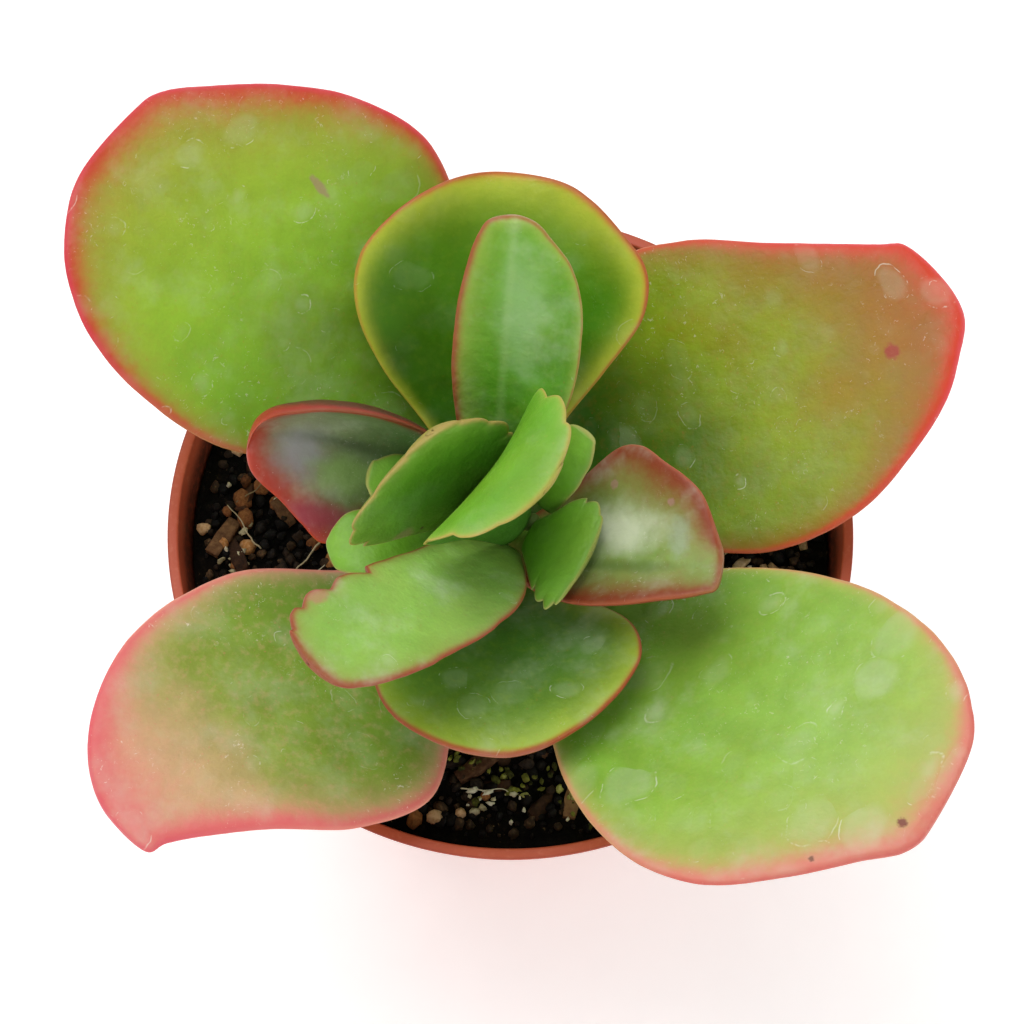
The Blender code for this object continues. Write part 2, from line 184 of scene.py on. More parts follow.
LEAVES = (
    Leaf("leaf_back_right",
         Look("3a661c", "8a9c2c", "9e6a2a", band=(0.2, 0.5, 1.8, 2.8, 4.4, 3.0, 1.6, 0.6, 0.2), blush="d4402e",
              glow="a0642a", rim="de5260", rim_width=0.8, rim_depth=0.75, under="8a8a4a", glow_reach=3.2, shaded_foot_reach=0.2,
              middle_place=0.6, rings=0.35, bloom=0.08, flecks=0.3, freckles=0.14,
              marks=(Mark(62.2, -4.3, 1.3, 1.1, "a03a32", 0.85),)),
         heading=21, swerve=14, length=75, rise=(22, 22, 12), node=79,
         left=(5, 20, 32, 29, 21.5, 15.5, 11, 8, 0), right=(5, 10.5, 20, 22, 19, 15, 10, 6, 0),
         thick=OUTER_THICK),
    Leaf("leaf_front_left",
         Look("5a842e", "86a040", "dcaa8a", band=(0.4, 1.4, 2.8, 4, 7, 5, 2.2, 1, 0.4), blush="dc6466",
              glow="d8a482", rim="d85062", rim_width=0.8, rim_depth=0.75, under="a89a68", glow_reach=2.0, shaded_foot_reach=0.18,
              middle_place=0.62, rings=0.35, bloom=0.22, flecks=0.6, freckles=0.25),
         heading=221, swerve=-4, length=70, rise=(20, 20, 10), node=79,
         left=(5, 14, 25, 23, 16, 11.5, 9, 8, 0), right=(5, 12, 20, 21.5, 20, 16, 11, 5.5, 0),
         thick=OUTER_THICK),
    Leaf("leaf_back_left",
         Look("4a7826", "8cb640", "98a83e", band=(0.4, 1.0, 2.2, 3.0, 4.0, 4.0, 3.0, 1.0, 0.3), blush="c03a28",
              glow="a08a38", rim="d03a50", under="7f9a4c", glow_reach=2.2, shaded_foot_reach=0.05,
              rim_width=1.1, rim_depth=0.8, middle_place=0.6, rings=0.5, ring_size=9, bloom=0.15, flecks=0.3, freckles=0.12, marks=(Mark(55.0, -10.8, 0.7, 1.9, "a08468", 0.75),)),
         heading=128, swerve=10, length=81, rise=(32, 30, 18), node=85,
         left=(5, 13, 26, 30.5, 30.5, 27, 21, 13.5, 0), right=(5, 12, 23, 28, 24, 16.5, 9, 4, 0),
         thick=OUTER_THICK),
    Leaf("leaf_front_right",
         Look("54802a", "8ab44a", "a0c060", band=(0.3, 0.4, 0.8, 2.0, 3.8, 3.6, 2.4, 0.6, 0.3), blush="da7a6e",
              glow="bcb05e", rim="cc5c56", rim_width=0.7, rim_depth=0.75, under="8fae5c", glow_reach=2.2, shaded_foot_reach=0.15, middle_place=0.5, rings=0.85, ring_size=11, film=0.18,
              bloom=0.25, flecks=0.3, freckles=0.1,
              marks=(Mark(76.8, -0.6, 0.7, 0.7, "7a3a34", 0.9), Mark(70.0, -12.0, 0.4, 0.4, "6a4a3a", 0.8))),
         heading=313, swerve=10, length=80, rise=(24, 27, 17), node=85,
         left=(5, 13, 22, 26, 26, 23.5, 19, 13, 0), right=(5, 13, 22.5, 26, 23.5, 15.5, 8, 4, 0),
         thick=OUTER_THICK),
    Leaf("leaf_back_round",
         Look("1f3c0e", "3e6e18", "5a8c24", band=(0.1, 0.15, 0.4, 0.7, 0.95, 0.95, 0.65, 0.35, 0.2),
              blush="b85c26", glow="c0c63e", rim="a05430", under="7a9a3a", glow_reach=4.8,
              rings=0.15, bloom=0.06, flecks=0.06, freckles=0.04),
         heading=90, swerve=-5, length=50.5, rise=(34, 32, 26), node=92,
         cup_left=(30, 30), cup_right=(30, 30),
         left=(4, 10, 18, 22, 21.5, 17, 11.5, 6, 0), right=(4, 9, 16.5, 22, 22, 17.5, 13, 8, 0),
         thick=ROUND_THICK),
    Leaf("leaf_front_round",
         Look("355e22", "527e34", "688f38", band=(0.25, 0.35, 0.5, 0.5, 0.5, 0.5, 0.4, 0.3, 0.2),
              blush="b0562c", glow="a4ba38", rim="98442a", under="7a9a4a", glow_reach=7.0,
              rings=0.3, ring_size=7, bloom=0.22, flecks=0.1),
         heading=272, length=36, rise=(34, 24, 10), node=93,
         cup_left=(22, 22), cup_right=(22, 22),
         left=(4, 10, 18.5, 20.5, 18, 14, 9.5, 5, 0), right=(4, 9, 15, 18.5, 18, 15.5, 11, 6, 0),
         thick=ROUND_THICK),
    Leaf("leaf_left_folded",
         Look("2c4c14", "64864a", "92927a", band=(0.8, 2.5, 4.5, 4.5, 3, 1.7, 0.9, 0.5, 0.3), blush="a83626",
              glow="6c5438", rim="bc3c1c", under="5a3428", glow_reach=1.6, rings=0.0, bloom=0.35,
              flecks=0.6, marks=(Mark(29.5, -1.5, 6.0, 4.0, "9c9aa0", 0.65, 1.1),
                                 Mark(22.5, 1.2, 4.2, 6.0, "8cb05c", 0.65, 1.1),
                                 Mark(25.0, 8.0, 2.8, 9.0, "9c3a4c", 0.75, 1.2),
                                 # the dark green streak along the fold is painted shade in the crease
                                 Mark(24.0, -4.4, 1.8, 9.5, "24381a", 0.5, 1.25))),
         heading=160, swerve=24, length=37, rise=(56, 28, 10), node=97,
         roll=(-20, -35, -35), cup_left=(20, 20), cup_right=(50, 85, 95),
         left=(3.5, 5, 8, 12, 9.5, 6.5, 4.5, 2.5, 0), right=(3.5, 7, 13.5, 16, 15.5, 13.5, 11.5, 7.5, 0),
         thick=INNER_THICK),
    Leaf("leaf_right_folded",
         Look("4f7a28", "8aa85c", "8aa858", band=(0.6, 3, 4.4, 3.6, 0.8, 1.4, 2.6, 2.8, 1.2), blush="8c3820",
              glow="8f6c3c", rim="a85838", under="8a4a30", glow_reach=1.9, rings=0.05, bloom=0.35,
              flecks=0.3, marks=(Mark(19.2, 4.3, 4.8, 7.6, "e6eccc", 0.78, 1.15),
                                 Mark(29.0, 2.6, 3.6, 2.0, "a9b8a0", 0.55, 1.0),
                                 Mark(20.0, -2.2, 1.4, 12.0, "44642a", 0.45, 1.2),
                                 Mark(16.6, 10.9, 0.8, 0.8, "b08a74", 0.8),
                                 Mark(27.6, 8.1, 0.6, 0.6, "a88070", 0.8))),
         heading=327, swerve=34, length=35, rise=(36, 32, 18), node=99,
         cup_left=(30, 30), cup_right=(40, 45),
         left=(4, 11, 16, 16.5, 14, 11.5, 8.5, 3, 0), right=(4, 8, 9.5, 9, 8, 7.5, 7, 6, 0),
         thick=INNER_THICK),
    Leaf("leaf_back_tongue",
         Look("3c6e20", "5e9630", "6ea238", band=(0.8, 1.0, 0.8, 0.6, 0.4, 0.25, 0.2, 0.2, 0.2),
              blush="9c5230", glow="98b048", rim="9c5430", under="7fa048", glow_reach=2.6,
              rim_width=0.25, rim_depth=0.75, dents=0.6,
              rings=0.1, bloom=0.25, flecks=0.08, midrib=0.15,
              # the pale streak along the upper midrib is a painted highlight
              marks=(Mark(30.0, -2.0, 4.2, 11.0, "a8cc94", 0.45, 1.25),)),
         heading=84, length=43, rise=(52, 48, 44), node=105,
         cup_left=(24, 24), cup_right=(24, 24),
         left=(4, 6, 7.5, 7.5, 7, 6, 5, 3.5, 0), right=(4, 8, 10.5, 11, 10.5, 8.5, 5.5, 3, 0),
         thick=INNER_THICK),
    Leaf("leaf_front_tongue",
         Look("84ae50", "94bc5e", "8eb656", band=(0.2, 0.5, 0.7, 0.8, 0.8, 0.7, 0.6, 0.4, 0.2),
              blush="984a2c", glow="92964a", rim="94422c", under="7fa050", glow_reach=1.9,
              rim_width=0.3, rim_depth=0.8, dents=0.6,
              rings=0.1, ring_size=5, bloom=0.4, flecks=0.2,
              marks=(Mark(35.5, -6.9, 1.2, 1.6, "b87466", 0.6),)),
         heading=240, swerve=-20, length=43, rise=(50, 36, 22), node=105,
         cup_left=(20, 20), cup_right=(20, 20),
         left=(7, 12, 12.5, 11.5, 10.5, 9, 7.5, 5, 0), right=(3, 4, 5.5, 7, 8, 8, 7, 5, 0),
         thick=INNER_THICK, teeth=((-1, 0.35, 1.0, 4, 1.2),), crinkle=0.5),
    Leaf("leaf_heart_left",
         Look("4e7e28", "66983a", "74a83c", band=(0.2, 0.25, 0.3, 0.4, 0.4, 0.4, 0.4, 0.3, 0.2),
              blush="a8944c", glow="7ca43e", rim="b08c54", under="5e8a30", glow_reach=3.0,
              rim_width=0.15, rim_depth=0.65, dents=0.6,
              rings=0.0, bloom=0.08, flecks=0.04,
              marks=(Mark(5.5, 10.3, 2.2, 1.6, "a08c68", 0.5), Mark(4.2, 6.8, 0.35, 0.35, "4a3a24", 0.9))),
         heading=124, length=20.5, rise=(86, 77, 60), foot=(-7.7, -6.6, 108.2),
         cup_left=(16, 16), cup_right=(16, 16),
         left=(5, 10, 15, 18, 17, 13, 8, 4, 0), right=(4, 7, 9.5, 10.5, 10, 8, 5.5, 3, 0),
         thick=HEART_THICK, teeth=((1, 0.3, 0.95, 4, 1.1), (-1, 0.4, 1.0, 3, 0.7)), crinkle=0.4),
    Leaf("leaf_heart_right",
         Look("457a24", "669a30", "74a83c", band=(0.2, 0.25, 0.3, 0.4, 0.5, 0.4, 0.4, 0.3, 0.2),
              blush="b0a24c", glow="8cb244", rim="b89e5c", under="467a24", glow_reach=2.6,
              rim_width=0.15, rim_depth=0.65, dents=0.6,
              rings=0.0, bloom=0.12, flecks=0.04),
         heading=326, length=31, rise=(110, 88, 10), foot=(0.8, -9.6, 108.2),
         cup_left=(22, 22), cup_right=(22, 22),
         left=(5, 8.5, 12, 13, 12.5, 11, 8.5, 4.5, 0), right=(3.5, 7.5, 12.5, 15, 15, 13.5, 10.5, 5.5, 0),
         thick=HEART_THICK, teeth=((1, 0.3, 0.9, 3, 1.2), (-1, 0.35, 0.95, 3, 1.1)), crinkle=0.4),
    Leaf("sprout_right_front", SPROUT_LOOK,
         heading=335, length=11, rise=(42, 30, 18), foot=(2.9, -11.2, 107.9),
         left=(3, 4.5, 6.5, 7.5, 7.5, 7, 6, 4, 0), right=(2.5, 5, 7.5, 9.5, 10.5, 10.5, 9, 5.5, 0),
         thick=SPROUT_THICK, teeth=((-1, 0.3, 1.0, 4, 1.0), (1, 0.4, 1.0, 2, 0.8)), crinkle=0.25),
    Leaf("sprout_right_back", SPROUT_LOOK,
         heading=48, length=15, rise=(60, 56, 48), foot=(5.2, -5.9, 107.6),
         left=(2, 3, 4, 5, 5, 4, 3, 2, 0), right=(2, 2.5, 3, 3, 3, 2.5, 2, 1.5, 0),
         thick=SPROUT_THICK),
    Leaf("sprout_left_back", SPROUT_LOOK,
         heading=166, length=13.3, rise=(56, 44, 30), foot=(-10.9, -5.9, 106.6),
         left=(2, 3, 4, 4.5, 4.5, 4, 3, 2, 0), right=(2, 3, 4, 4.5, 4, 3, 2, 1.5, 0),
         thick=SPROUT_THICK),
    Leaf("sprout_left_front", SPROUT_LOOK,
         heading=200, length=17, rise=(38, 22, -20), foot=(-11.1, -9.3, 105.4),
         left=(2, 3, 4, 5, 5, 4, 3, 2, 0), right=(2, 3, 4, 5, 5, 4, 3, 2, 0),
         thick=SPROUT_THICK),
    Leaf("bud_back", BUD_LOOK, heading=128, length=8, rise=(88, 86, 80), foot=(-3.3, -6.65, 108.4),
         left=(1, 1.3, 1.6, 1.8, 1.8, 1.6, 1.3, 0.9, 0), right=(1, 1.3, 1.6, 1.8, 1.8, 1.6, 1.3, 0.9, 0),
         thick=BUD_THICK, crinkle=0.05),
    Leaf("bud_front", BUD_LOOK, heading=304, length=5, rise=(92, 92, 88), foot=(-4.4, -9.3, 108.2),
         left=(1, 1.3, 1.6, 1.8, 1.8, 1.6, 1.3, 0.9, 0), right=(1, 1.3, 1.6, 1.8, 1.8, 1.6, 1.3, 0.9, 0),
         thick=BUD_THICK, crinkle=0.05),
)


# Shader node helpers

def colour(code):
    """A scene-linear RGBA colour from an sRGB hex code."""
    channels = [int(code[i:i + 2], 16) / 255 for i in (0, 2, 4)]
    linear = [c / 12.92 if c <= 0.04045 else ((c + 0.055) / 1.055) ** 2.4 for c in channels]
    return (*linear, 1.0)


def add(tree, kind, sockets=None, **settings):
    """Adds a node; each named socket gets a value, or a link if a socket is given."""
    node = tree.nodes.new(kind)
    for name, value in settings.items():
        setattr(node, name, value)
    for key, value in (sockets or {}).items():
        if isinstance(value, bpy.types.NodeSocket):
            tree.links.new(value, node.inputs[key])
        else:
            node.inputs[key].default_value = value
    return node


def calc(tree, operation, first, second=0.0, clamp=False):
    return add(tree, "ShaderNodeMath", {0: first, 1: second}, operation=operation,
               use_clamp=clamp).outputs[0]


def remap(tree, value, low, high, new_low=0.0, new_high=1.0):
    """A smooth step of a value between two limits, to a new range."""
    return add(tree, "ShaderNodeMapRange", {0: value, 1: low, 2: high, 3: new_low, 4: new_high},
               interpolation_type="SMOOTHSTEP").outputs[0]


def blend(tree, share, first, second, mode="MIX"):
    """Two colours mixed by a share."""
    return add(tree, "ShaderNodeMix", {0: share, 6: first, 7: second}, data_type="RGBA",
               blend_type=mode).outputs[2]


def ramp(tree, value, stops):
    """A colour ramp through (place, hex colour) stops."""
    node = add(tree, "ShaderNodeValToRGB", {0: value})
    elements = node.color_ramp.elements
    while len(elements) < len(stops):
        elements.new(0.5)
    for element, (place, code) in zip(elements, stops):
        element.position = place
        element.color = colour(code)
    return node.outputs[0]


def speckle(tree, place, size, detail=3.0, rough=0.55, twist=0.0):
    """Noise whose features are about size millimetres wide."""
    return add(tree, "ShaderNodeTexNoise", {"Vector": place, "Scale": 1 / (size * MM), "Detail": detail,
                                            "Roughness": rough, "Distortion": twist}).outputs[0]


def attribute(tree, name):
    return add(tree, "ShaderNodeAttribute", attribute_name=name).outputs["Fac"]


def object_place(tree):
    return add(tree, "ShaderNodeTexCoord").outputs["Object"]


def new_material(name, roughness=0.5, **values):
    """A material with its Principled shader; other values are set on the shader's sockets."""
    material = bpy.data.materials.new(name)
    material.use_nodes = True
    tree = material.node_tree
    shader = tree.nodes["Principled BSDF"]
    shader.inputs["Roughness"].default_value = roughness
    for key, value in values.items():
        shader.inputs[key.replace("_", " ").title().replace("Ior", "IOR")].default_value = value
    return material, tree, shader


def bump(tree, shader, height, depth, strength=1.0, under=None):
    """Raises the surface by a height value; depth is in millimetres."""
    sockets = {"Height": height, "Distance": depth * MM, "Strength": strength}
    if under is not None:
        sockets["Normal"] = under
    return add(tree, "ShaderNodeBump", sockets).outputs[0]


# Piece helpers

def new_piece(name, mesh, material, smooth=True):
    """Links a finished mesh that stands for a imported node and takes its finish."""
    piece = bpy.data.objects.new(name, mesh)
    bpy.context.scene.collection.objects.link(piece)
    mesh.materials.clear()
    mesh.materials.append(material)
    if smooth:
        mesh.shade_smooth()
    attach(piece, "root")
    return piece


def evaluated_mesh(thing, name):
    """The mesh of an object with its modifiers applied."""
    bpy.context.view_layer.update()
    graph = bpy.context.evaluated_depsgraph_get()
    mesh = bpy.data.meshes.new_from_object(thing.evaluated_get(graph))
    mesh.name = name
    return mesh


def temporary(name, mesh):
    thing = bpy.data.objects.new(name, mesh)
    bpy.context.scene.collection.objects.link(thing)
    return thing


def discard(*things):
    for thing in things:
        mesh = thing.data
        bpy.data.objects.remove(thing, do_unlink=True)
        bpy.data.meshes.remove(mesh)


def face_outwards(mesh):
    shape = bmesh.new()
    shape.from_mesh(mesh)
    bmesh.ops.recalc_face_normals(shape, faces=shape.faces)
    shape.to_mesh(mesh)
    shape.free()


def merge_close_points(mesh):
    """Joins points that a Boolean left a few thousandths of a millimetre apart."""
    shape = bmesh.new()
    shape.from_mesh(mesh)
    bmesh.ops.remove_doubles(shape, verts=shape.verts, dist=0.004 * MM)
    bmesh.ops.dissolve_degenerate(shape, edges=shape.edges, dist=0.001 * MM)
    shape.to_mesh(mesh)
    shape.free()


def lofted(name, rings, foot, end):
    """A closed mesh through rings of points, with a fan to one point at each end."""
    rings = np.asarray(rings, dtype=float)
    levels, count = rings.shape[:2]
    points = np.vstack([rings.reshape(-1, 3), [foot], [end]]) * MM
    faces = []
    for k in range(levels - 1):
        for j in range(count):
            i = (j + 1) % count
            faces.append((k * count + j, k * count + count + j, k * count + count + i, k * count + i))
    last = (levels - 1) * count
    foot_point = levels * count
    for j in range(count):
        i = (j + 1) % count
        faces.append((j, i, foot_point))
        faces.append((last + i, last + j, foot_point + 1))
    mesh = bpy.data.meshes.new(name)
    mesh.from_pydata(points.tolist(), [], faces)
    face_outwards(mesh)
    return mesh


def set_attribute(mesh, name, values):
    mesh.attributes.new(name, "FLOAT", "POINT").data.foreach_set("value", np.asarray(values, dtype=np.float32))


def fuse(thing, tools, operation):
    """Adds Boolean modifiers that join or cut an object by others."""
    for tool in tools:
        step = thing.modifiers.new(tool.name, "BOOLEAN")
        step.operation = operation
        step.solver = "EXACT"
        step.object = tool


def smooth_curve(values, share):
    """A smooth curve through evenly spaced values, read at shares from 0 to 1."""
    last = len(values) - 1
    place = np.clip(share, 0, 1) * last
    i = np.minimum(place.astype(int), last - 1)
    f = place - i
    row = np.concatenate(([2 * values[0] - values[1]], values, [2 * values[-1] - values[-2]]))
    a, b, c, d = (row[i + k] for k in range(4))
    return b + 0.5 * f * (c - a + f * (2 * a - 5 * b + 4 * c - d + f * (3 * (b - c) + d - a)))


def ripple(points, size, seed=0.0):
    """Smooth noise between -1 and 1 at each point; size is in the points' unit."""
    flat = np.asarray(points, dtype=float).reshape(-1, 3) / size + seed
    values = [noise.noise(Vector(point)) for point in flat]
    return np.array(values).reshape(np.asarray(points).shape[:-1])


# Leaves

def stem_point(height):
    share = (height - STEM_FOOT[2]) / (STEM_TOP[2] - STEM_FOOT[2])
    return STEM_FOOT + share * (STEM_TOP - STEM_FOOT)


def stem_radius(height):
    share = (height - STEM_FOOT[2]) / (STEM_TOP[2] - STEM_FOOT[2])
    return STEM_FOOT_RADIUS + share * (STEM_TOP_RADIUS - STEM_FOOT_RADIUS)


def leaf_foot(leaf):
    """Where the midrib starts: given, or just clear of the stem at the leaf's node."""
    if leaf.foot:
        return np.array(leaf.foot)
    heading = math.radians(leaf.heading)
    outward = np.array((math.cos(heading), math.sin(heading), 0))
    tilt = leaf.thick[0] / 2 * math.sin(math.radians(leaf.rise[0]))
    return stem_point(leaf.node) + outward * (stem_radius(leaf.node) + 0.35 + tilt)


def margin_width(leaf, side, t, seed):
    """Half-widths along one side, with its rounded teeth and small crinkles."""
    width = smooth_curve(leaf.left if side > 0 else leaf.right, t)
    for tooth_side, first, last, count, depth in leaf.teeth:
        if tooth_side == side:
            lobe = np.abs(np.sin(np.pi * count * (t - first) / (last - first)))
            width = width - np.where((t >= first) & (t <= last), depth * (1 - lobe), 0)
    track = np.stack([t * leaf.length, 0 * t + side, 0 * t], -1)
    wave = ripple(track, 5.0, seed) * 0.7 + ripple(track, 1.7, seed + 5) * 0.3
    body = np.minimum(1, 6 * t) * np.minimum(1, 8 * (1 - t))
    return np.maximum(width + leaf.crinkle * wave * body, np.minimum(0.4, width + 0.02))


def blade_surface(leaf, settings, seed):
    """Both faces of a blade, with the place of each point on the flattened blade."""
    t = np.linspace(0, 1, settings.stations + 1)
    share = t * (2 - t)
    pitch = np.radians(smooth_curve(leaf.rise, share))
    heading = np.radians(leaf.heading + leaf.swerve * share)
    forward = np.stack([np.cos(pitch) * np.cos(heading), np.cos(pitch) * np.sin(heading), np.sin(pitch)], -1)
    steps = (forward[1:] + forward[:-1]) / 2 * leaf.length * np.diff(share)[:, None]
    spine = leaf_foot(leaf) + np.vstack([np.zeros((1, 3)), np.cumsum(steps, 0)])
    flat_left = np.stack([-np.sin(heading), np.cos(heading), 0 * heading], -1)
    flat_up = np.cross(forward, flat_left)
    roll = np.radians(smooth_curve(leaf.roll, share))[:, None]
    left = (flat_left * np.cos(roll) + flat_up * np.sin(roll))[:, None]
    up = (flat_up * np.cos(roll) - flat_left * np.sin(roll))[:, None]

    edge = 1 - (1 - np.arange(settings.columns + 1) / settings.columns) ** settings.crowding
    q = np.concatenate([-edge[:0:-1], edge])
    widths = {side: margin_width(leaf, side, t, seed) for side in (1, -1)}
    width = np.where(q >= 0, widths[1][:, None], widths[-1][:, None])
    curls = [np.radians(smooth_curve(cup, share))[:, None] for cup in (leaf.cup_left, leaf.cup_right)]
    curl = np.where(q >= 0, *curls)
    out = (np.sign(q) * width * np.sin(np.abs(q) * curl) / curl)[..., None]
    lift = (width * (1 - np.cos(q * curl)) / curl)[..., None]
    turn = (q * curl)[..., None]
    normal = up * np.cos(turn) - left * np.sin(turn)
    centre = spine[:, None] + left * out + up * lift

    middle, rim = leaf.thick
    stations = TOOTHED_STATIONS if leaf.teeth else BUD_STATIONS if leaf.thick == BUD_THICK else PLAIN_STATIONS
    slim = np.where(t < 0.5, 1.0, 1 - 0.55 * (2 * t - 1) ** 2)
    slim = slim * np.minimum(1.0, (1 - t) * stations / 2.5) ** 0.5
    half = rim / 2 * np.sqrt(1 - np.abs(q) ** 8) + (middle - rim) / 2 * (1 - q * q)
    half = (half[None] * slim[:, None])[..., None]

    inside = ((1 - np.abs(q) ** 4)[None] * np.minimum(1, 5 * t)[:, None] * np.minimum(1, 6 * (1 - t))[:, None])
    scale = min(1.0, leaf.length / 40)
    dents = ripple(centre, 11.0, seed) * settings.wave + ripple(centre, 4.0, seed + 3) * settings.dent
    centre = centre + normal * (dents * inside * scale)[..., None]
    flat = np.stack([q * width, np.broadcast_to((share * leaf.length)[:, None], width.shape)], -1)
    outline = np.vstack([np.stack([widths[1], share * leaf.length], -1),
                         np.stack([-widths[-1], share * leaf.length], -1)])
    around = np.concatenate([t / 2, 1 - t / 2])
    return centre + normal * half, centre - normal * half, flat, outline, around, spine


def margin_values(leaf, flat, outline, around):
    """How near each point is to the margin, how strongly its bands colour it, and how wide they are there."""
    points = flat.reshape(-1, 2)
    away = np.sqrt(((points[:, None] - outline[None]) ** 2).sum(-1))
    band = np.maximum(smooth_curve(leaf.look.band, around), 0.05)
    flush = band[away.argmin(1)] / band.max()
    blush = np.exp(-(away / band) ** 1.3).max(1)
    glow = np.exp(-(away / (band * leaf.look.glow_reach + 0.3)) ** 1.6).max(1)
    shape = flat.shape[:2]
    return away.min(1).reshape(shape), blush.reshape(shape), glow.reshape(shape), flush.reshape(shape)


def ring_values(values, end_value):
    """Values of both faces in the order of the lofted points."""
    ring = np.concatenate([values, values[:, -2:0:-1]], 1)[:-1]
    return np.concatenate([ring.reshape(-1), [values[0].mean(), end_value]])


def build_leaf(leaf, settings, seed):
    """One blade as a closed mesh that carries its flattened place and margin values."""
    top, bottom, flat, outline, around, spine = blade_surface(leaf, settings, seed)
    rings = np.concatenate([top, bottom[:, -2:0:-1]], 1)[:-1]
    mesh = lofted(leaf.name, rings, spine[0], spine[-1])
    margin, blush, glow, flush = margin_values(leaf, flat, outline, around)
    upper = np.concatenate([np.ones_like(margin), np.zeros_like(margin[:, 2:])], 1)[:-1]
    upper = np.concatenate([upper.reshape(-1), [0.5, 0.5]])
    along = ring_values(flat[..., 1], leaf.length)
    across = ring_values(flat[..., 0], 0.0)
    set_attribute(mesh, "margin", ring_values(margin, 0.0))
    set_attribute(mesh, "blush", ring_values(blush, blush[-2].max()))
    set_attribute(mesh, "glow", ring_values(glow, glow[-2].max()))
    set_attribute(mesh, "flush", ring_values(flush, flush[-2].max()))
    set_attribute(mesh, "upper", upper)
    set_attribute(mesh, "along", along / leaf.length)
    corners = np.empty(len(mesh.loops), dtype=np.int32)
    mesh.loops.foreach_get("vertex_index", corners)
    places = np.stack([across, along], -1)[corners] / 100 + np.array((0.5, 0.0))
    mesh.uv_layers.new(name="blade").data.foreach_set("uv", places.reshape(-1).astype(np.float32))
    piece = new_piece(leaf.name + "_skin", mesh, leaf_skin(leaf))
    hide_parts(leaf.name)
    return piece


def water_rings(tree, flat, size, share, seed, gaps):
    """Thin broken ovals that dried drops left, and the faint film inside them."""
    shifted = add(tree, "ShaderNodeVectorMath", {0: flat, 1: (seed * 0.037, seed * 0.011, 0)}).outputs[0]
    sway = add(tree, "ShaderNodeTexNoise", {"Vector": shifted, "Scale": 1 / (size * 0.7 * MM), "Detail": 3.0})
    bent = add(tree, "ShaderNodeVectorMath", {0: sway.outputs["Color"], 1: (size * 0.35 * MM,) * 3, 2: shifted},
               operation="MULTIPLY_ADD").outputs[0]
    oval = add(tree, "ShaderNodeMapping", {"Vector": bent, "Rotation": (0, 0, seed), "Scale": (1, 1.35, 1)}).outputs[0]
    cells = add(tree, "ShaderNodeTexVoronoi", {"Vector": oval, "Scale": 1 / (size * MM), "Randomness": 0.8},
                voronoi_dimensions="2D")
    draw = add(tree, "ShaderNodeSeparateColor", {0: cells.outputs["Color"]})
    off = calc(tree, "SUBTRACT", cells.outputs["Distance"], remap(tree, draw.outputs[1], 0, 1, 0.16, 0.42))
    line = remap(tree, calc(tree, "ABSOLUTE", off), 0.0, 0.02, 1.0, 0.0)
    broken = remap(tree, speckle(tree, shifted, size * 0.5, 4, 0.75), gaps, gaps + 0.1, 0.0, 1.0)
    chosen = calc(tree, "LESS_THAN", draw.outputs[0], share)
    strength = calc(tree, "MULTIPLY", chosen, remap(tree, draw.outputs[2], 0, 1, 0.3, 1.0))
    film = remap(tree, off, -0.16, 0.03, 1.0, 0.0)
    return (calc(tree, "MULTIPLY", calc(tree, "MULTIPLY", line, broken), strength),
            calc(tree, "MULTIPLY", film, strength))


def mark_mask(tree, flat, mark):
    """A soft-edged uneven spot at a place on the flattened blade."""
    middle = ((mark.across / 100 + 0.5) * 0.1, mark.along * MM, 0)
    away = add(tree, "ShaderNodeVectorMath", {0: flat, 1: middle}, operation="SUBTRACT").outputs[0]
    scaled = add(tree, "ShaderNodeVectorMath", {0: away, 1: (1 / (mark.width * MM), 1 / (mark.height * MM), 1)},
                 operation="MULTIPLY").outputs[0]
    reach = add(tree, "ShaderNodeVectorMath", {0: scaled}, operation="LENGTH").outputs["Value"]
    size = (mark.width + mark.height) / 2
    uneven = calc(tree, "MULTIPLY", calc(tree, "SUBTRACT", speckle(tree, flat, size * 0.8), 0.5), 1.1)
    return remap(tree, calc(tree, "ADD", reach, uneven), 1.3 - mark.softness, 1.3, mark.strength, 0.0)


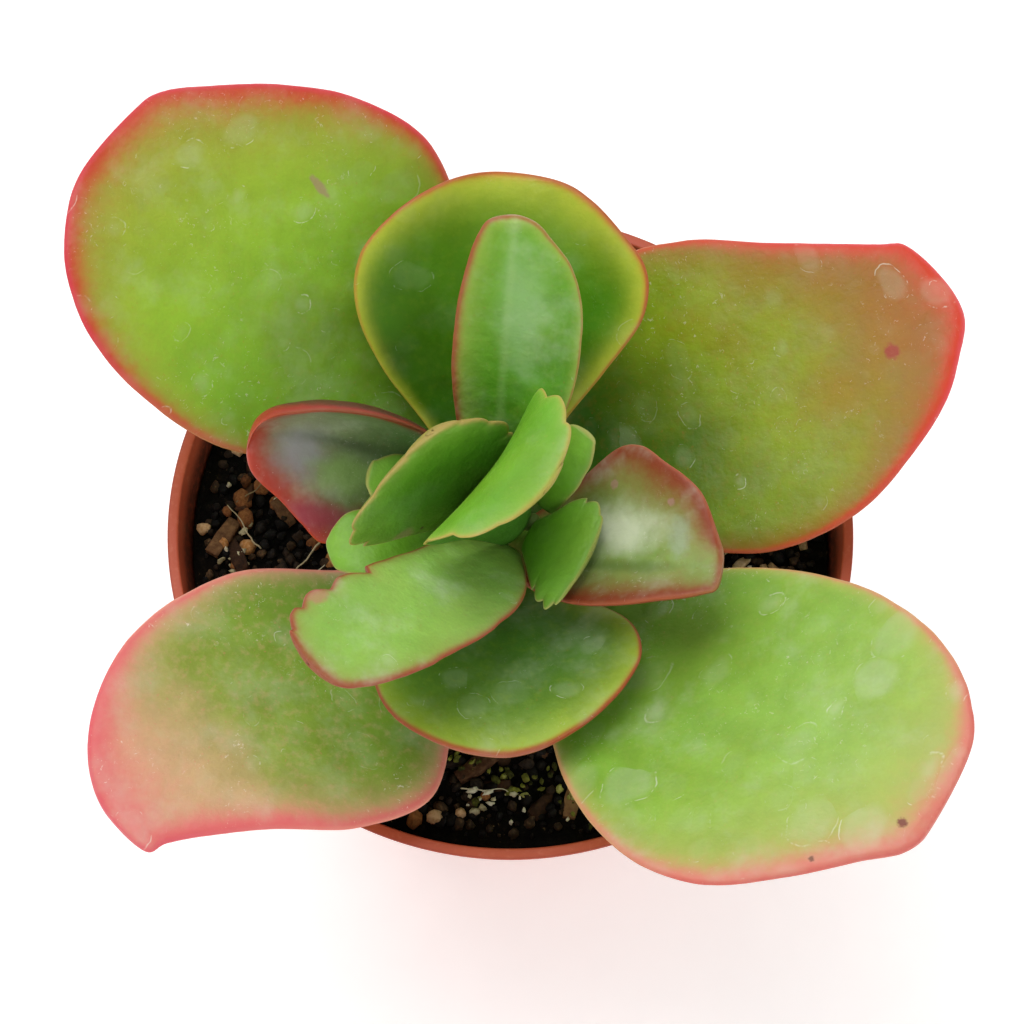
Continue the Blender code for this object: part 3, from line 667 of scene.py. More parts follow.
def leaf_skin(leaf):
    """Waxy skin of a fleshy leaf: green body, flushed margin, dried water rings and bloom."""
    look = leaf.look
    material, tree, shader = new_material("waxy_" + leaf.name, subsurface_weight=0.12, subsurface_scale=0.002,
                                          specular_ior_level=look.gloss)
    shader.inputs["Subsurface Radius"].default_value = (0.9, 1.0, 0.3)
    place = object_place(tree)
    chart = add(tree, "ShaderNodeUVMap", uv_map="blade").outputs[0]
    flat = add(tree, "ShaderNodeVectorMath", {0: chart, "Scale": 0.1}, operation="SCALE").outputs[0]
    blush, glow, margin, upper, along, flush = (attribute(tree, name) for name in
                                                ("blush", "glow", "margin", "upper", "along", "flush"))
    patches = speckle(tree, place, 15, 3)
    cloud = speckle(tree, place, 6, 4)
    grain = speckle(tree, place, 1.3, 3, 0.6)
    cells = speckle(tree, place, 0.5, 3, 0.7)

    # the body runs from the foot colour, darkened as painted shade at the blade's base, through the middle to the tip
    run = calc(tree, "ADD", along, calc(tree, "MULTIPLY", calc(tree, "SUBTRACT", patches, 0.5), 0.55))
    body = ramp(tree, run, ((look.shaded_foot_reach, look.foot), (look.middle_place, look.middle), (0.95, look.tip)))
    tone = calc(tree, "ADD", remap(tree, cloud, 0.3, 0.7, 0.8, 0.96), calc(tree, "MULTIPLY", cells, 0.2))
    body = add(tree, "ShaderNodeHueSaturation", {"Hue": remap(tree, patches, 0.3, 0.7, 0.492, 0.508),
                                                 "Saturation": 1.06,
                                                 "Value": tone, "Color": body}).outputs[0]
    body = blend(tree, remap(tree, grain, 0.45, 0.75, 0.0, look.freckles), body, colour(look.glow))
    loose = calc(tree, "MULTIPLY", calc(tree, "SUBTRACT", cloud, 0.5), 0.5)
    fine = calc(tree, "MULTIPLY", calc(tree, "SUBTRACT", grain, 0.5), 0.35)
    reach = calc(tree, "ADD", loose, fine)
    soft_glow = calc(tree, "MULTIPLY", calc(tree, "ADD", glow, calc(tree, "MULTIPLY", reach, glow)), 0.85, True)
    skin = blend(tree, soft_glow, body, colour(look.glow))
    soft_blush = remap(tree, calc(tree, "ADD", blush, calc(tree, "MULTIPLY", reach, 0.7)), 0.05, 0.95, 0, 0.95)
    skin = blend(tree, soft_blush, skin, colour(look.blush))
    if look.midrib:
        centre_line = calc(tree, "ABSOLUTE", calc(tree, "SUBTRACT", add(tree, "ShaderNodeSeparateXYZ",
                           {0: flat}).outputs[0], 0.05))
        skin = blend(tree, remap(tree, centre_line, 0.0, 1.2 * MM, look.midrib, 0.0), skin, colour("c4dc98"))
    freckle = remap(tree, speckle(tree, flat, 0.7, 1), 0.66, 0.78, 0, look.freckles)
    skin = blend(tree, freckle, skin, colour(look.blush))
    film = calc(tree, "MULTIPLY", remap(tree, speckle(tree, place, 9, 4, 0.65), 0.46, 0.8, 0, look.bloom), upper)
    skin = blend(tree, film, skin, colour("cdd8bc"))
    if look.rings:
        lines, films = water_rings(tree, flat, look.ring_size, look.rings, len(leaf.name), 0.5)
        arcs, faint_films = water_rings(tree, flat, look.ring_size * 0.62, look.rings, len(leaf.name) + 3, 0.56)
        line = calc(tree, "MULTIPLY", calc(tree, "MAXIMUM", lines, arcs), upper)
        wash = calc(tree, "MULTIPLY", calc(tree, "ADD", films, calc(tree, "MULTIPLY", faint_films, 0.3)), upper)
        skin = blend(tree, calc(tree, "MULTIPLY", wash, look.film), skin, colour("d3dfc0"))
        skin = blend(tree, calc(tree, "MULTIPLY", line, 0.48), skin, colour("e9ecd8"))
    specks = remap(tree, speckle(tree, flat, 0.9, 3, 0.7, 1.5), 0.63, 0.7, 0, look.flecks)
    fleck = calc(tree, "MULTIPLY", specks, remap(tree, patches, 0.42, 0.6, 0.0, 1.0))
    skin = blend(tree, calc(tree, "MULTIPLY", fleck, upper), skin, colour("f0e4d4"))
    for mark in look.marks:
        mask = calc(tree, "MULTIPLY", mark_mask(tree, flat, mark), upper)
        skin = blend(tree, mask, skin, colour(mark.colour))
    under_tone = blend(tree, remap(tree, calc(tree, "ADD", blush, reach), 0.1, 0.9, 0, 0.8),
                       colour(look.under), colour(look.blush))
    skin = blend(tree, calc(tree, "SUBTRACT", 1.0, upper), skin, under_tone)
    rim = remap(tree, calc(tree, "ADD", margin, calc(tree, "MULTIPLY", grain, 0.25)), 0.0, look.rim_width + 0.15, look.rim_depth, 0.0)
    rim_tone = blend(tree, remap(tree, flush, 0.1, 0.6, 0.15, 1.0), colour(look.glow), colour(look.rim))
    skin = blend(tree, rim, skin, rim_tone)
    tree.links.new(skin, shader.inputs["Base Color"])
    matte = calc(tree, "ADD", remap(tree, cloud, 0.3, 0.7, 0.36, 0.48), calc(tree, "MULTIPLY", film, 0.3))
    tree.links.new(matte, shader.inputs["Roughness"])
    pores = bump(tree, shader, cells, 0.06, 0.6)
    soft = bump(tree, shader, speckle(tree, place, 2.6, 2, 0.5), 0.18, 0.5, under=pores)
    dented = bump(tree, shader, cloud, look.dents * 2.2, 0.6, under=soft)
    tree.links.new(dented, shader.inputs["Normal"])
    return material


# Stem

def ring_round(centre, radius, sides, side=np.array((1, 0, 0)), up=np.array((0, 1, 0))):
    turns = np.linspace(0, 2 * np.pi, sides, endpoint=False)[:, None]
    return centre + (side * np.cos(turns) + up * np.sin(turns)) * radius


def build_stem(settings):
    """The stem with its swollen nodes, and two side twigs fused to it."""
    heights = np.array([leaf.node for leaf in LEAVES if leaf.node])
    rings = []
    for z in np.linspace(STEM_FOOT[2], STEM_TOP[2] - 0.6, settings.stem_levels):
        away = min(1.0, np.abs(heights - z).min() / STEM_NODE_REACH)
        ring = ring_round(stem_point(z), stem_radius(z) - STEM_NODE_SWELL * away, settings.stem_sides)
        rings.append(ring + ripple(ring, 2.5)[:, None] * (ring - stem_point(z)) * 0.02)
    stem = temporary("stem_rod", lofted("stem_rod", rings, STEM_FOOT, STEM_TOP))
    twigs = []
    for number, (start, end) in enumerate(TWIGS):
        start, end = np.array(start), np.array(end)
        along = (end - start) / np.linalg.norm(end - start)
        side = np.cross(along, (0, 0, 1))
        side /= np.linalg.norm(side)
        up = np.cross(side, along)
        shares = ((0.0, 1.0), (0.3, 1.0), (0.6, 1.06), (0.9, 1.1), (0.96, 0.9), (0.99, 0.5))
        rings = [ring_round(start + (end - start) * k, TWIG_RADIUS * r, 20, side, up) for k, r in shares]
        twigs.append(temporary(f"twig_{number}", lofted(f"twig_{number}", rings, start, end)))
    fuse(stem, twigs, "UNION")
    mesh = evaluated_mesh(stem, "stem")
    discard(stem, *twigs)
    piece = new_piece("stem_skin", mesh, stem_skin())
    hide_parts("stem")
    return piece


def stem_skin():
    """Green stem bark, browner and corky towards the peat, with darker node rings."""
    material, tree, shader = new_material("green_stem_bark", roughness=0.55, subsurface_weight=0.05,
                                          subsurface_scale=0.001)
    place = object_place(tree)
    height = add(tree, "ShaderNodeSeparateXYZ", {0: place}).outputs[2]
    cloud = speckle(tree, place, 3, 4)
    uneven = calc(tree, "MULTIPLY", calc(tree, "SUBTRACT", cloud, 0.5), 0.012)
    level = remap(tree, calc(tree, "ADD", height, uneven), 0.074, 0.104)
    skin = ramp(tree, level, ((0.0, "6b5a34"), (0.35, "7d8a44"), (1.0, "7fa548")))
    bands = add(tree, "ShaderNodeTexWave", {"Vector": place, "Scale": 60.0, "Distortion": 3.0, "Detail": 2.0},
                bands_direction="Z").outputs[1]
    skin = blend(tree, remap(tree, bands, 0.7, 1.0, 0, 0.35), skin, colour("5a4a2c"))
    tree.links.new(skin, shader.inputs["Base Color"])
    ridge = bump(tree, shader, speckle(tree, place, 0.8, 4), 0.15, 0.7)
    tree.links.new(ridge, shader.inputs["Normal"])
    return material


# Pot

def pot_corners():
    """The pot's half-section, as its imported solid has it."""
    rim, height, band = POT_RIM_RADIUS, POT_HEIGHT, POT_HEIGHT - POT_BAND_HEIGHT
    band_foot = rim - POT_BAND_DRAFT
    wall_top = band_foot - POT_BAND_STEP
    lip = rim - POT_LIP_WIDTH
    return ((0.0, POT_FLOOR), (POT_BASE_RADIUS - POT_WALL, POT_FLOOR), (wall_top - POT_WALL, band - 1.0),
            (lip, height), (rim, height), (band_foot, band), (wall_top, band), (POT_BASE_RADIUS, 0.0), (0.0, 0.0))


def rounded_profile(corners, radius, steps):
    """The profile with each inner corner turned into a small arc."""
    points = [Vector(corners[0])]
    for before, corner, after in zip(corners, corners[1:], corners[2:]):
        here = Vector(corner)
        back, on = Vector(before) - here, Vector(after) - here
        cut = min(radius, back.length * 0.4, on.length * 0.4)
        start, end = here + back.normalized() * cut, here + on.normalized() * cut
        for k in range(steps + 1):
            s = k / steps
            points.append(start * (1 - s) ** 2 + here * 2 * s * (1 - s) + end * s ** 2)
    points.append(Vector(corners[-1]))
    return points


def build_pot(settings):
    """The pot turned from its rounded half-section, with drain holes cut through its floor."""
    profile = rounded_profile(pot_corners(), POT_EDGE_ROUND, 4)
    middle = [point for point in profile[1:-1]]
    turns = np.linspace(0, 2 * np.pi, settings.pot_segments, endpoint=False)
    rings = [[(p.x * math.cos(a), p.x * math.sin(a), p.y) for a in turns] for p in middle]
    pot = temporary("pot_turned", lofted("pot_turned", rings, (0, 0, profile[0].y), (0, 0, profile[-1].y)))
    holes = []
    for k in range(DRAIN_HOLES):
        turn = 2 * math.pi * k / DRAIN_HOLES
        x, y = DRAIN_HOLE_RING * math.cos(turn), DRAIN_HOLE_RING * math.sin(turn)
        # half a side of turn keeps the hole's corners off the spokes of the floor
        start = turn + math.pi / DRAIN_HOLE_SIDES
        side, up = np.array((math.cos(start), math.sin(start), 0)), np.array((-math.sin(start), math.cos(start), 0))
        rings = [ring_round(np.array((x, y, z)), DRAIN_HOLE_RADIUS, DRAIN_HOLE_SIDES, side, up) for z in (-2.0, 5.0)]
        holes.append(temporary(f"hole_{k}", lofted(f"hole_{k}", rings, (x, y, -2.0), (x, y, 5.0))))
    fuse(pot, holes, "DIFFERENCE")
    mesh = evaluated_mesh(pot, "pot")
    discard(pot, *holes)
    merge_close_points(mesh)
    piece = new_piece("pot_shell", mesh, pot_plastic())
    piece.data.set_sharp_from_angle(angle=math.radians(40))
    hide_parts("pot")
    return piece


def pot_plastic():
    """Terracotta-coloured moulded plastic: fine grain, dusty scuffs, a painted shade line on the lip's outer edge, and
    a peat stain with painted shade inside the lip.
    """
    material, tree, shader = new_material("terracotta_plastic", roughness=0.5, specular_ior_level=0.35)
    place = object_place(tree)
    parts = add(tree, "ShaderNodeSeparateXYZ", {0: place})
    across = add(tree, "ShaderNodeCombineXYZ", {0: parts.outputs[0], 1: parts.outputs[1]}).outputs[0]
    radius = add(tree, "ShaderNodeVectorMath", {0: across}, operation="LENGTH").outputs["Value"]
    height = parts.outputs[2]
    cloud = speckle(tree, place, 18, 4)
    grain = speckle(tree, place, 0.9, 3)
    shell = ramp(tree, cloud, ((0.3, "bb5136"), (0.55, "bf5538"), (0.75, "c45a3b")))
    shell = blend(tree, remap(tree, grain, 0.5, 0.8, 0, 0.2), shell, colour("e08c6c"))
    scuffs = add(tree, "ShaderNodeMapping", {"Vector": place, "Rotation": (0.3, 0.2, 0.6),
                                             "Scale": (1, 1, 6)}).outputs[0]
    scuff = remap(tree, speckle(tree, scuffs, 9, 5, 0.75), 0.66, 0.74, 0, 0.35)
    shell = blend(tree, scuff, shell, colour("e6b29c"))
    # painted shade: the outer edge of the lip's top is darkened to the dark red of a shaded edge
    outer_lip = remap(tree, radius, (POT_RIM_RADIUS - 0.5) * MM, (POT_RIM_RADIUS - 0.1) * MM, 0, 0.7)
    lip_edge_shade = calc(tree, "MULTIPLY", outer_lip, remap(tree, height, 0.083, 0.0836))
    shell = blend(tree, lip_edge_shade, shell, colour("9c4230"))
    # the middle of the slanted wall parts its inner face from its outer face
    wall_run = POT_RIM_RADIUS - POT_BAND_DRAFT - POT_BAND_STEP - POT_BASE_RADIUS
    slope = wall_run / (POT_HEIGHT - POT_BAND_HEIGHT)
    wall = calc(tree, "ADD", calc(tree, "MULTIPLY", height, slope), (POT_BASE_RADIUS - POT_WALL / 2) * MM)
    above_base = calc(tree, "GREATER_THAN", height, POT_FLOOR / 2 * MM)
    inside = calc(tree, "MULTIPLY", calc(tree, "LESS_THAN", radius, wall), above_base)
    # the inner wall darkens below the lip: a peat stain, together with painted shade that deepens further down inside
    # the pot
    below = remap(tree, calc(tree, "ADD", height, calc(tree, "MULTIPLY", cloud, 0.003)), 0.0805, 0.0845, 0.9, 0.0)
    stain_and_shade = calc(tree, "MULTIPLY", inside, calc(tree, "MULTIPLY", below, remap(tree, grain, 0.25, 0.6, 0.6, 1.0)))
    shell = blend(tree, stain_and_shade, shell, colour("3a1c12"))
    tree.links.new(shell, shader.inputs["Base Color"])
    matte = calc(tree, "ADD", remap(tree, cloud, 0.3, 0.7, 0.42, 0.55), calc(tree, "MULTIPLY", scuff, 0.4))
    tree.links.new(matte, shader.inputs["Roughness"])
    fine = bump(tree, shader, speckle(tree, place, 0.45, 2), 0.03, 0.5)
    tree.links.new(bump(tree, shader, scuff, 0.05, 0.4, under=fine), shader.inputs["Normal"])
    return material


# Peat and what lies on it

def soil_wall_radius(height):
    """The peat's radius at a height, just clear of the pot's inner wall."""
    band = POT_HEIGHT - POT_BAND_HEIGHT - 1.0
    middle = POT_RIM_RADIUS - POT_BAND_DRAFT - POT_BAND_STEP - POT_WALL
    if height > band:
        low, high, bottom, top = band, POT_HEIGHT, middle, POT_RIM_RADIUS - POT_LIP_WIDTH
    else:
        low, high, bottom, top = POT_FLOOR, band, POT_BASE_RADIUS - POT_WALL, middle
    return bottom + (height - low) / (high - low) * (top - bottom) - GAP


def soil_lumps():
    """Seeded lumps on the peat: each a place, a height and a width."""
    draw = random.Random(SOIL_SEED)
    lumps = []
    reach = soil_wall_radius(SOIL_LEVEL)
    for _ in range(260):
        radius = reach * math.sqrt(draw.random())
        turn = draw.uniform(0, 2 * math.pi)
        lumps.append((radius * math.cos(turn), radius * math.sin(turn),
                      draw.uniform(-0.5, 1.0) * SOIL_BUMP, draw.uniform(0.6, 1.2) * SOIL_LUMP))
    return lumps


def soil_relief(points, settings):
    """Heights of the crumbly top above its plain level, lumps and fine crumbs together."""
    relief = np.zeros(points.shape[:-1])
    for x, y, height, width in soil_lumps():
        away = np.hypot(points[..., 0] - x, points[..., 1] - y) / width
        relief += np.where(away < 1, height * (1 - np.minimum(away, 1) ** 2) ** 2, 0)
    clods = 0.5 - np.abs(ripple(points, 3.2, 4.0)) * 1.6
    crumbs = 0.4 - np.abs(ripple(points, 1.3, 9.0)) * 1.4
    return relief + (clods * settings.clod_height + crumbs * settings.crumb_height) / MM


def build_soil(settings):
    """The peat plug with a crumbly top and a plain hole for the stem."""
    hole_floor = STEM_FOOT[2] - GAP
    hole_radius = STEM_FOOT_RADIUS + GAP
    hole_low, hole_high = stem_point(STEM_FOOT[2]), stem_point(SOIL_LEVEL)
    rim_radius = soil_wall_radius(SOIL_EDGE_LEVEL)
    turns = np.linspace(0, 2 * np.pi, settings.soil_sectors, endpoint=False)

    def circle(centre, radius, z):
        return np.stack([centre[0] + radius * np.cos(turns), centre[1] + radius * np.sin(turns), 0 * turns + z], -1)

    rings = [circle(hole_low, hole_radius, hole_floor), circle(hole_high, hole_radius, SOIL_LEVEL)]
    for k in range(1, settings.soil_rings + 1):
        share = k / settings.soil_rings
        level = SOIL_LEVEL + share * share * (SOIL_EDGE_LEVEL - SOIL_LEVEL)
        ring = circle(hole_high * (1 - share), hole_radius + share * (rim_radius - hole_radius), level)
        fade = min(1.0, 8 * share, 12 * (1 - share))
        ring[:, 2] += soil_relief(ring, settings) * fade
        rings.append(ring)
    foot = POT_FLOOR + GAP
    for z in (POT_HEIGHT - POT_BAND_HEIGHT - 1.0, 50.0, 25.0, foot):
        rings.append(circle((0, 0), soil_wall_radius(z), z))
    hole = (hole_low[0], hole_low[1], hole_floor)
    piece = new_piece("soil_bed", lofted("soil", rings, hole, (0, 0, foot)), peat())
    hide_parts("soil")
    return piece


def peat():
    """Damp black peat, with brown crumbs and a few pale mineral specks."""
    material, tree, shader = new_material("damp_peat", roughness=0.85, specular_ior_level=0.1)
    place = object_place(tree)
    crumbs = speckle(tree, place, 1.6, 5, 0.65)
    patches = speckle(tree, place, 8, 3)
    earth = ramp(tree, crumbs, ((0.4, "050403"), (0.58, "0f0b08"), (0.74, "2c2016")))
    earth = blend(tree, remap(tree, patches, 0.5, 0.8, 0, 0.3), earth, colour("241d10"))
    specks = remap(tree, speckle(tree, place, 0.8, 2), 0.7, 0.78, 0, 0.6)
    earth = blend(tree, specks, earth, colour("8a7350"))
    tree.links.new(earth, shader.inputs["Base Color"])
    tree.links.new(remap(tree, patches, 0.3, 0.7, 0.6, 0.95), shader.inputs["Roughness"])
    tree.links.new(bump(tree, shader, speckle(tree, place, 0.7, 5, 0.7), 0.5, 0.9), shader.inputs["Normal"])
    return material


def loose_material(name, stops, size, roughness, depth):
    """Finish of loose bits: a tone drawn for each bit, broken up by noise."""
    material, tree, shader = new_material(name, roughness=roughness, specular_ior_level=0.2)
    place = object_place(tree)
    grain = speckle(tree, place, size, 4, 0.65)
    tone = calc(tree, "ADD", attribute(tree, "tone"),
                calc(tree, "MULTIPLY", calc(tree, "SUBTRACT", grain, 0.5), 0.7))
    tree.links.new(ramp(tree, tone, stops), shader.inputs["Base Color"])
    tree.links.new(bump(tree, shader, speckle(tree, place, size * 0.6, 4, 0.7), depth, 0.9),
                   shader.inputs["Normal"])
    return material


def lump_shape(name, seed, subdivisions, rough, flatness):
    """An irregular lump about one unit across."""
    shape = bmesh.new()
    bmesh.ops.create_icosphere(shape, subdivisions=subdivisions, radius=0.5)
    for vertex in shape.verts:
        place = vertex.co * 2.3 + Vector((seed * 7.31, seed * 1.73, seed * 0.37))
        swell = 1 + rough * noise.noise(place) + rough * 0.45 * noise.noise(place * 3.1)
        vertex.co = Vector((vertex.co.x * flatness[0], vertex.co.y * flatness[1], vertex.co.z * flatness[2])) * swell
    mesh = bpy.data.meshes.new(name)
    shape.to_mesh(mesh)
    shape.free()
    return mesh


def chip_shape(name, seed):
    """A splinter of bark about one unit long."""
    draw = random.Random(seed)
    shape = bmesh.new()
    bmesh.ops.create_cube(shape, size=1.0)
    bmesh.ops.subdivide_edges(shape, edges=shape.edges, cuts=3, use_grid_fill=True)
    length, width, height = 1.0, draw.uniform(0.3, 0.5), draw.uniform(0.12, 0.22)
    for vertex in shape.verts:
        taper = 1 - 0.5 * abs(vertex.co.x) * draw.uniform(0.8, 1.2)
        rough = noise.noise(vertex.co * 4 + Vector((seed * 3.1, 0, 0))) * 0.3
        vertex.co = Vector((vertex.co.x * length, vertex.co.y * width * taper * (1 + rough),
                            vertex.co.z * height * (1 + rough)))
    mesh = bpy.data.meshes.new(name)
    shape.to_mesh(mesh)
    shape.free()
    return mesh


def fibre_shape(name, seed):
    """A dry root fibre about one unit long that wanders as it goes."""
    draw = random.Random(seed)
    place, heading, climb = np.array((-0.5, 0.0, 0.0)), draw.uniform(-0.5, 0.5), 0.15
    rings = []
    for k in range(16):
        along = np.array((math.cos(heading), math.sin(heading), climb))
        side = np.array((-math.sin(heading), math.cos(heading), 0))
        radius = 0.017 * (1 - 0.5 * k / 15)
        rings.append(ring_round(place, radius, 5, side, np.cross(along, side)) / MM)
        place = place + along / 15
        heading += draw.uniform(-0.35, 0.35)
        climb = 0.15 - 0.02 * k
    return lofted(name, rings, rings[0].mean(0), rings[-1].mean(0))


def scatter_tree():
    """A tree that strews picked shapes over upward faces and gives each a random tone."""
    tree = bpy.data.node_groups.new("strew_on_peat", "GeometryNodeTree")
    sockets = (("Bed", "Geometry"), ("Shapes", "Collection"), ("Finish", "Material"), ("Seed", "Int"),
               ("Density", "Float"), ("Spacing", "Float"), ("Smallest", "Float"), ("Largest", "Float"),
               ("Sink", "Float"), ("Tilt", "Float"), ("Stem clearance", "Float"), ("Reach", "Float"),
               ("Cluster size", "Float"), ("Cluster level", "Float"), ("Drift", "Vector"), ("Evenness", "Float"))
    for name, kind in sockets:
        tree.interface.new_socket(name=name, in_out="INPUT", socket_type="NodeSocket" + kind)
    tree.interface.new_socket(name="Bits", in_out="OUTPUT", socket_type="NodeSocketGeometry")
    given = add(tree, "NodeGroupInput").outputs
    place = add(tree, "GeometryNodeInputPosition").outputs[0]
    parts = add(tree, "ShaderNodeSeparateXYZ", {0: place}).outputs
    level = add(tree, "ShaderNodeCombineXYZ", {0: parts[0], 1: parts[1]}).outputs[0]
    stem = stem_point(SOIL_LEVEL) * MM
    from_stem = add(tree, "ShaderNodeVectorMath", {0: level, 1: (stem[0], stem[1], 0)}, operation="DISTANCE").outputs["Value"]
    from_axis = add(tree, "ShaderNodeVectorMath", {0: level}, operation="LENGTH").outputs["Value"]
    clear = calc(tree, "GREATER_THAN", from_stem, given["Stem clearance"])
    within = calc(tree, "LESS_THAN", from_axis, given["Reach"])
    on_top = calc(tree, "GREATER_THAN", parts[2], (SOIL_LEVEL - 2.5) * MM)
    chosen = calc(tree, "MULTIPLY", calc(tree, "MULTIPLY", clear, within), on_top)
    clusters = add(tree, "ShaderNodeTexNoise", {"Vector": place, "Scale": given["Cluster size"], "Detail": 1.0}).outputs[0]
    drift = add(tree, "ShaderNodeVectorMath", {0: place, 1: given["Drift"]}, operation="DOT_PRODUCT").outputs["Value"]
    side = calc(tree, "ADD", drift, given["Evenness"], clamp=True)
    thick = calc(tree, "MULTIPLY", calc(tree, "GREATER_THAN", clusters, given["Cluster level"]), side)
    points = add(tree, "GeometryNodeDistributePointsOnFaces",
                 {"Mesh": given["Bed"], "Selection": chosen, "Distance Min": given["Spacing"],
                  "Density Max": given["Density"], "Density Factor": thick, "Seed": given["Seed"]},
                 distribute_method="POISSON").outputs["Points"]
    drop = add(tree, "ShaderNodeCombineXYZ", {2: calc(tree, "MULTIPLY", given["Sink"], -1.0)}).outputs[0]
    sunk = add(tree, "GeometryNodeSetPosition", {"Geometry": points, "Offset": drop}).outputs[0]
    shapes = add(tree, "GeometryNodeCollectionInfo", {0: given["Shapes"], 1: True, 2: True}).outputs[0]
    low = add(tree, "ShaderNodeCombineXYZ", {0: calc(tree, "MULTIPLY", given["Tilt"], -1.0),
                                             1: calc(tree, "MULTIPLY", given["Tilt"], -1.0)}).outputs[0]
    high = add(tree, "ShaderNodeCombineXYZ", {0: given["Tilt"], 1: given["Tilt"], 2: 2 * math.pi}).outputs[0]
    turn = add(tree, "FunctionNodeRandomValue", {0: low, 1: high, 8: 3}, data_type="FLOAT_VECTOR").outputs[0]
    size = add(tree, "FunctionNodeRandomValue", {2: given["Smallest"], 3: given["Largest"], 8: 5}).outputs[1]
    bits = add(tree, "GeometryNodeInstanceOnPoints", {"Points": sunk, "Instance": shapes, "Pick Instance": True,
                                                      "Rotation": turn, "Scale": size}).outputs[0]
    tone = add(tree, "FunctionNodeRandomValue", {2: 0.1, 3: 0.9, 8: 11}).outputs[1]
    toned = add(tree, "GeometryNodeStoreNamedAttribute", {"Geometry": bits, "Name": "tone", "Value": tone},
                data_type="FLOAT", domain="INSTANCE").outputs[0]
    real = add(tree, "GeometryNodeRealizeInstances", {0: toned}).outputs[0]
    done = add(tree, "GeometryNodeSetMaterial", {"Geometry": real, "Material": given["Finish"]}).outputs[0]
    add(tree, "NodeGroupOutput", {0: done})
    return tree


def strew(name, bed, tree, shapes, finish, values):
    """Strews shapes over the bed by the node tree and keeps the result as one mesh."""
    group = bpy.data.collections.new(name + "_shapes")
    bpy.context.scene.collection.children.link(group)
    models = []
    for mesh in shapes:
        model = bpy.data.objects.new(mesh.name, mesh)
        group.objects.link(model)
        models.append(model)
    host = temporary(name + "_host", bed.data.copy())
    step = host.modifiers.new("strew", "NODES")
    step.node_group = tree
    names = {item.name: item.identifier for item in tree.interface.items_tree if item.in_out == "INPUT"}
    step[names["Shapes"]] = group
    step[names["Finish"]] = finish
    for key, value in values.items():
        step[names[key]] = value
    mesh = evaluated_mesh(host, name)
    host.modifiers.clear()
    discard(host, *models)
    bpy.data.collections.remove(group)
    if not mesh.polygons:
        raise RuntimeError(f"{name}: nothing was strewn")
    return new_piece(name, mesh, finish)


